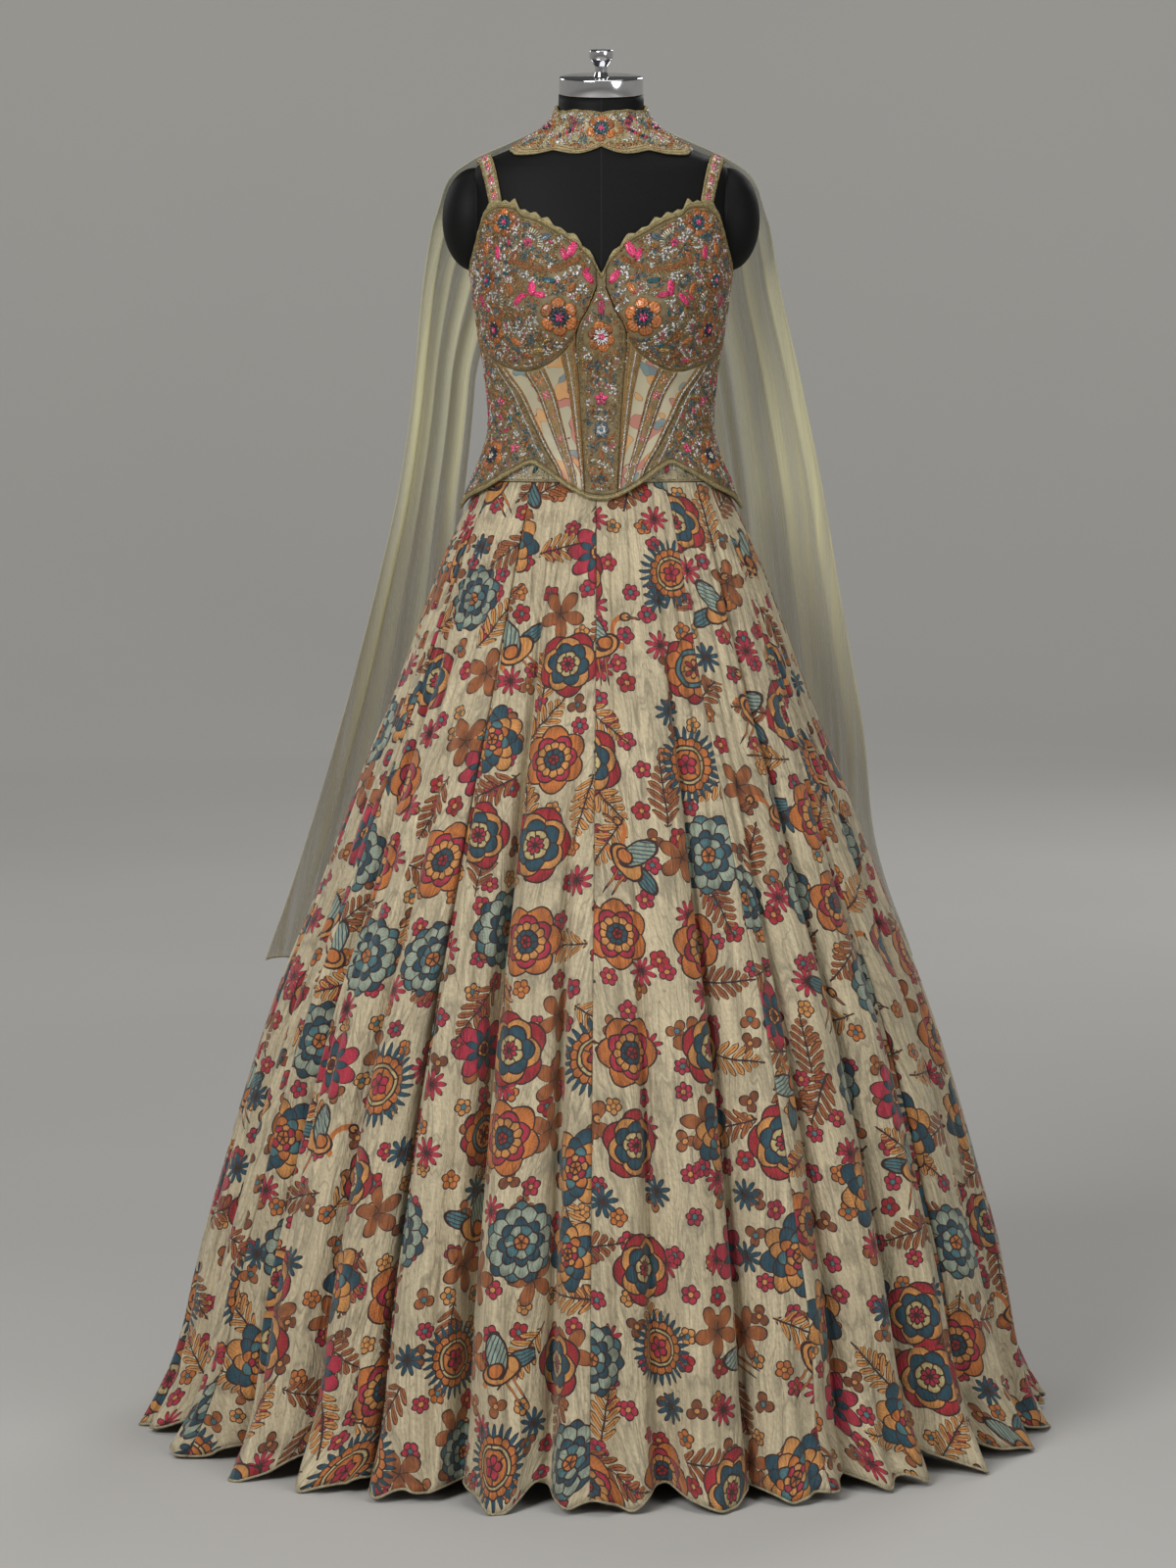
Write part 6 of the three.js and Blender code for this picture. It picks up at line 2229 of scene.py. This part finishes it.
def build_stage(settings):
    """A seamless pale sweep all round, soft lights and the camera at the photograph's angle."""
    scene = bpy.context.scene
    bpy.ops.object.select_all(action="DESELECT")
    bpy.ops.mesh.primitive_circle_add(vertices=96, radius=0.5, fill_type="NGON", location=(0, 0, 0))
    sweep = bpy.context.object
    sweep.name = "studio_sweep"
    rings = [(radius, 0.0) for radius in (1.0, 2.0, 3.5, 5.0, 7.0, SWEEP_RADIUS - SWEEP_BEND)]
    for step in range(1, 17):
        turn = math.radians(90 * step / 16)
        foot = SWEEP_RADIUS - SWEEP_BEND
        rings.append((foot + SWEEP_BEND * math.sin(turn), SWEEP_BEND * (1 - math.cos(turn))))
    rings.append((SWEEP_RADIUS, SWEEP_HEIGHT))
    mesh = bmesh.new()
    mesh.from_mesh(sweep.data)
    edge = [e for e in mesh.edges]
    reach = 0.5
    for radius, height in rings:
        grown = bmesh.ops.extrude_edge_only(mesh, edges=edge)["geom"]
        edge = [g for g in grown if isinstance(g, bmesh.types.BMEdge)]
        for vert in (g for g in grown if isinstance(g, bmesh.types.BMVert)):
            vert.co.x *= radius / reach
            vert.co.y *= radius / reach
            vert.co.z = height
        reach = radius
    bmesh.ops.recalc_face_normals(mesh, faces=mesh.faces)
    mesh.to_mesh(sweep.data)
    mesh.free()
    sweep.data.shade_smooth()
    sweep.data.materials.append(studio_grey("studio_grey", (0.50, 0.49, 0.465)))

    lights = [
        ("key", (-2.3, -3.6, 3.1), (0, 0, 0.95), 2.2, settings.key_power),
        ("fill", (3.0, -3.4, 1.9), (0, 0, 0.8), 2.4, settings.fill_power),
        ("top", (0.4, -0.6, 4.2), (0, 0, 0.6), 2.6, settings.top_power),
        ("rear", (2.8, 6.2, 4.8), (0, 0, 0.9), 3.0, settings.back_power),
        ("rear_fill", (-4.2, 4.2, 3.4), (0, 0, 0.8), 2.6, settings.back_power * 0.3),
    ]
    for name, place, target, size, power in lights:
        bpy.ops.object.light_add(type="AREA", location=place)
        light = bpy.context.object
        light.name = name
        light.data.shape = "DISK"
        light.data.size = size
        light.data.energy = power
        light.visible_camera = False
        light.rotation_euler = (Vector(target) - Vector(place)).to_track_quat("-Z", "Y").to_euler()
    world = scene.world or bpy.data.worlds.new("World")
    scene.world = world
    world.use_nodes = True
    world.node_tree.nodes["Background"].inputs[0].default_value = (0.82, 0.83, 0.85, 1)
    world.node_tree.nodes["Background"].inputs[1].default_value = settings.world_strength
    bpy.ops.object.camera_add(
        location=(settings.camera_side, -settings.camera_distance, settings.camera_height),
        rotation=(math.radians(90) - settings.camera_pitch, 0, 0),
    )
    camera = bpy.context.object
    camera.name = "photograph_view"
    camera.data.lens = LENS
    camera.data.sensor_width = SENSOR
    camera.data.clip_end = 40
    scene.camera = camera
    scene.view_settings.view_transform = "Standard"


class LehengaSettings(bpy.types.PropertyGroup):
    """Sizes and colours that a user would change."""

    ground: FloatVectorProperty(
        name="Silk ground", description="Ground colour of the printed silk", subtype="COLOR", default=GROUND
    )
    gore_columns: IntProperty(name="Gore columns", description="Points across each skirt gore", default=81)
    gore_rows: IntProperty(name="Gore rows", description="Points down each skirt gore", default=76)


class StageSettings(bpy.types.PropertyGroup):
    """The camera and the lights."""

    camera_side: FloatProperty(
        name="Camera side", description="Camera's place along X", default=-0.0155, subtype="DISTANCE"
    )
    camera_distance: FloatProperty(
        name="Camera distance", description="Camera's distance in front", default=5.306, subtype="DISTANCE"
    )
    camera_height: FloatProperty(
        name="Camera height", description="Camera's height above the floor", default=1.254, subtype="DISTANCE"
    )
    camera_pitch: FloatProperty(
        name="Camera pitch",
        description="How far the camera looks down",
        default=math.radians(5.267),
        subtype="ANGLE",
    )
    key_power: FloatProperty(name="Key light", description="Power in watts", default=150)
    fill_power: FloatProperty(name="Fill light", description="Power in watts", default=50)
    top_power: FloatProperty(name="Top light", description="Power in watts", default=34)
    back_power: FloatProperty(name="Rear light", description="Power in watts", default=150)
    world_strength: FloatProperty(name="World", description="Strength of the even light", default=0.08)


class LEHENGA_OT_form(bpy.types.Operator):
    """Cover the dress form and finish its stand"""

    bl_idname = "lehenga.form"
    bl_label = "Dress form"

    def execute(self, context):
        build_form()
        return {"FINISHED"}


class LEHENGA_OT_waistband(bpy.types.Operator):
    """Cut the waistband that the gores hang from"""

    bl_idname = "lehenga.waistband"
    bl_label = "Waistband"

    def execute(self, context):
        build_waistband()
        return {"FINISHED"}


class LEHENGA_OT_bodice(bpy.types.Operator):
    """Cut the bodice's panels and bind its edges"""

    bl_idname = "lehenga.bodice"
    bl_label = "Bodice"

    def execute(self, context):
        build_bodice()
        return {"FINISHED"}


class LEHENGA_OT_straps(bpy.types.Operator):
    """Cut the two shoulder straps"""

    bl_idname = "lehenga.straps"
    bl_label = "Straps"

    def execute(self, context):
        build_straps()
        return {"FINISHED"}


class LEHENGA_OT_collar(bpy.types.Operator):
    """Cut the scalloped collar"""

    bl_idname = "lehenga.collar"
    bl_label = "Collar"

    def execute(self, context):
        build_collar()
        return {"FINISHED"}


class LEHENGA_OT_beading(bpy.types.Operator):
    """Sew the beads, bugles, sequins and pads on"""

    bl_idname = "lehenga.beading"
    bl_label = "Beading"

    def execute(self, context):
        build_beading()
        return {"FINISHED"}


class LEHENGA_OT_nets(bpy.types.Operator):
    """Hang the two net trails from the collar"""

    bl_idname = "lehenga.nets"
    bl_label = "Net trails"

    def execute(self, context):
        build_nets()
        return {"FINISHED"}


class LEHENGA_OT_skirt(bpy.types.Operator):
    """Cut, gather and hem the twelve printed gores"""

    bl_idname = "lehenga.skirt"
    bl_label = "Skirt"

    def execute(self, context):
        build_skirt(context.scene.lehenga)
        return {"FINISHED"}


class LEHENGA_OT_stage(bpy.types.Operator):
    """Set the sweep, the lights and the camera"""

    bl_idname = "lehenga.stage"
    bl_label = "Stage"

    def execute(self, context):
        build_stage(context.scene.lehenga_stage)
        return {"FINISHED"}


OPERATORS = (
    LEHENGA_OT_stage,
    LEHENGA_OT_form,
    LEHENGA_OT_waistband,
    LEHENGA_OT_skirt,
    LEHENGA_OT_bodice,
    LEHENGA_OT_straps,
    LEHENGA_OT_collar,
    LEHENGA_OT_nets,
    LEHENGA_OT_beading,
)


class LEHENGA_PT_panel(bpy.types.Panel):
    """Lists the pieces of the garment"""

    bl_label = "Lehenga Choli"
    bl_space_type = "VIEW_3D"
    bl_region_type = "UI"
    bl_category = "Lehenga"

    def draw(self, context):
        for operator in OPERATORS:
            self.layout.operator(operator.bl_idname)


CLASSES = (LehengaSettings, StageSettings, *OPERATORS, LEHENGA_PT_panel)


def register():
    for cls in CLASSES:
        bpy.utils.register_class(cls)
    bpy.types.Scene.lehenga = PointerProperty(type=LehengaSettings)
    bpy.types.Scene.lehenga_stage = PointerProperty(type=StageSettings)


def unregister():
    del bpy.types.Scene.lehenga_stage
    del bpy.types.Scene.lehenga
    for cls in reversed(CLASSES):
        bpy.utils.unregister_class(cls)


def main():
    register()
    for operator in OPERATORS:
        area, name = operator.bl_idname.split(".")
        getattr(getattr(bpy.ops, area), name)()


if __name__ == "__main__":
    main()
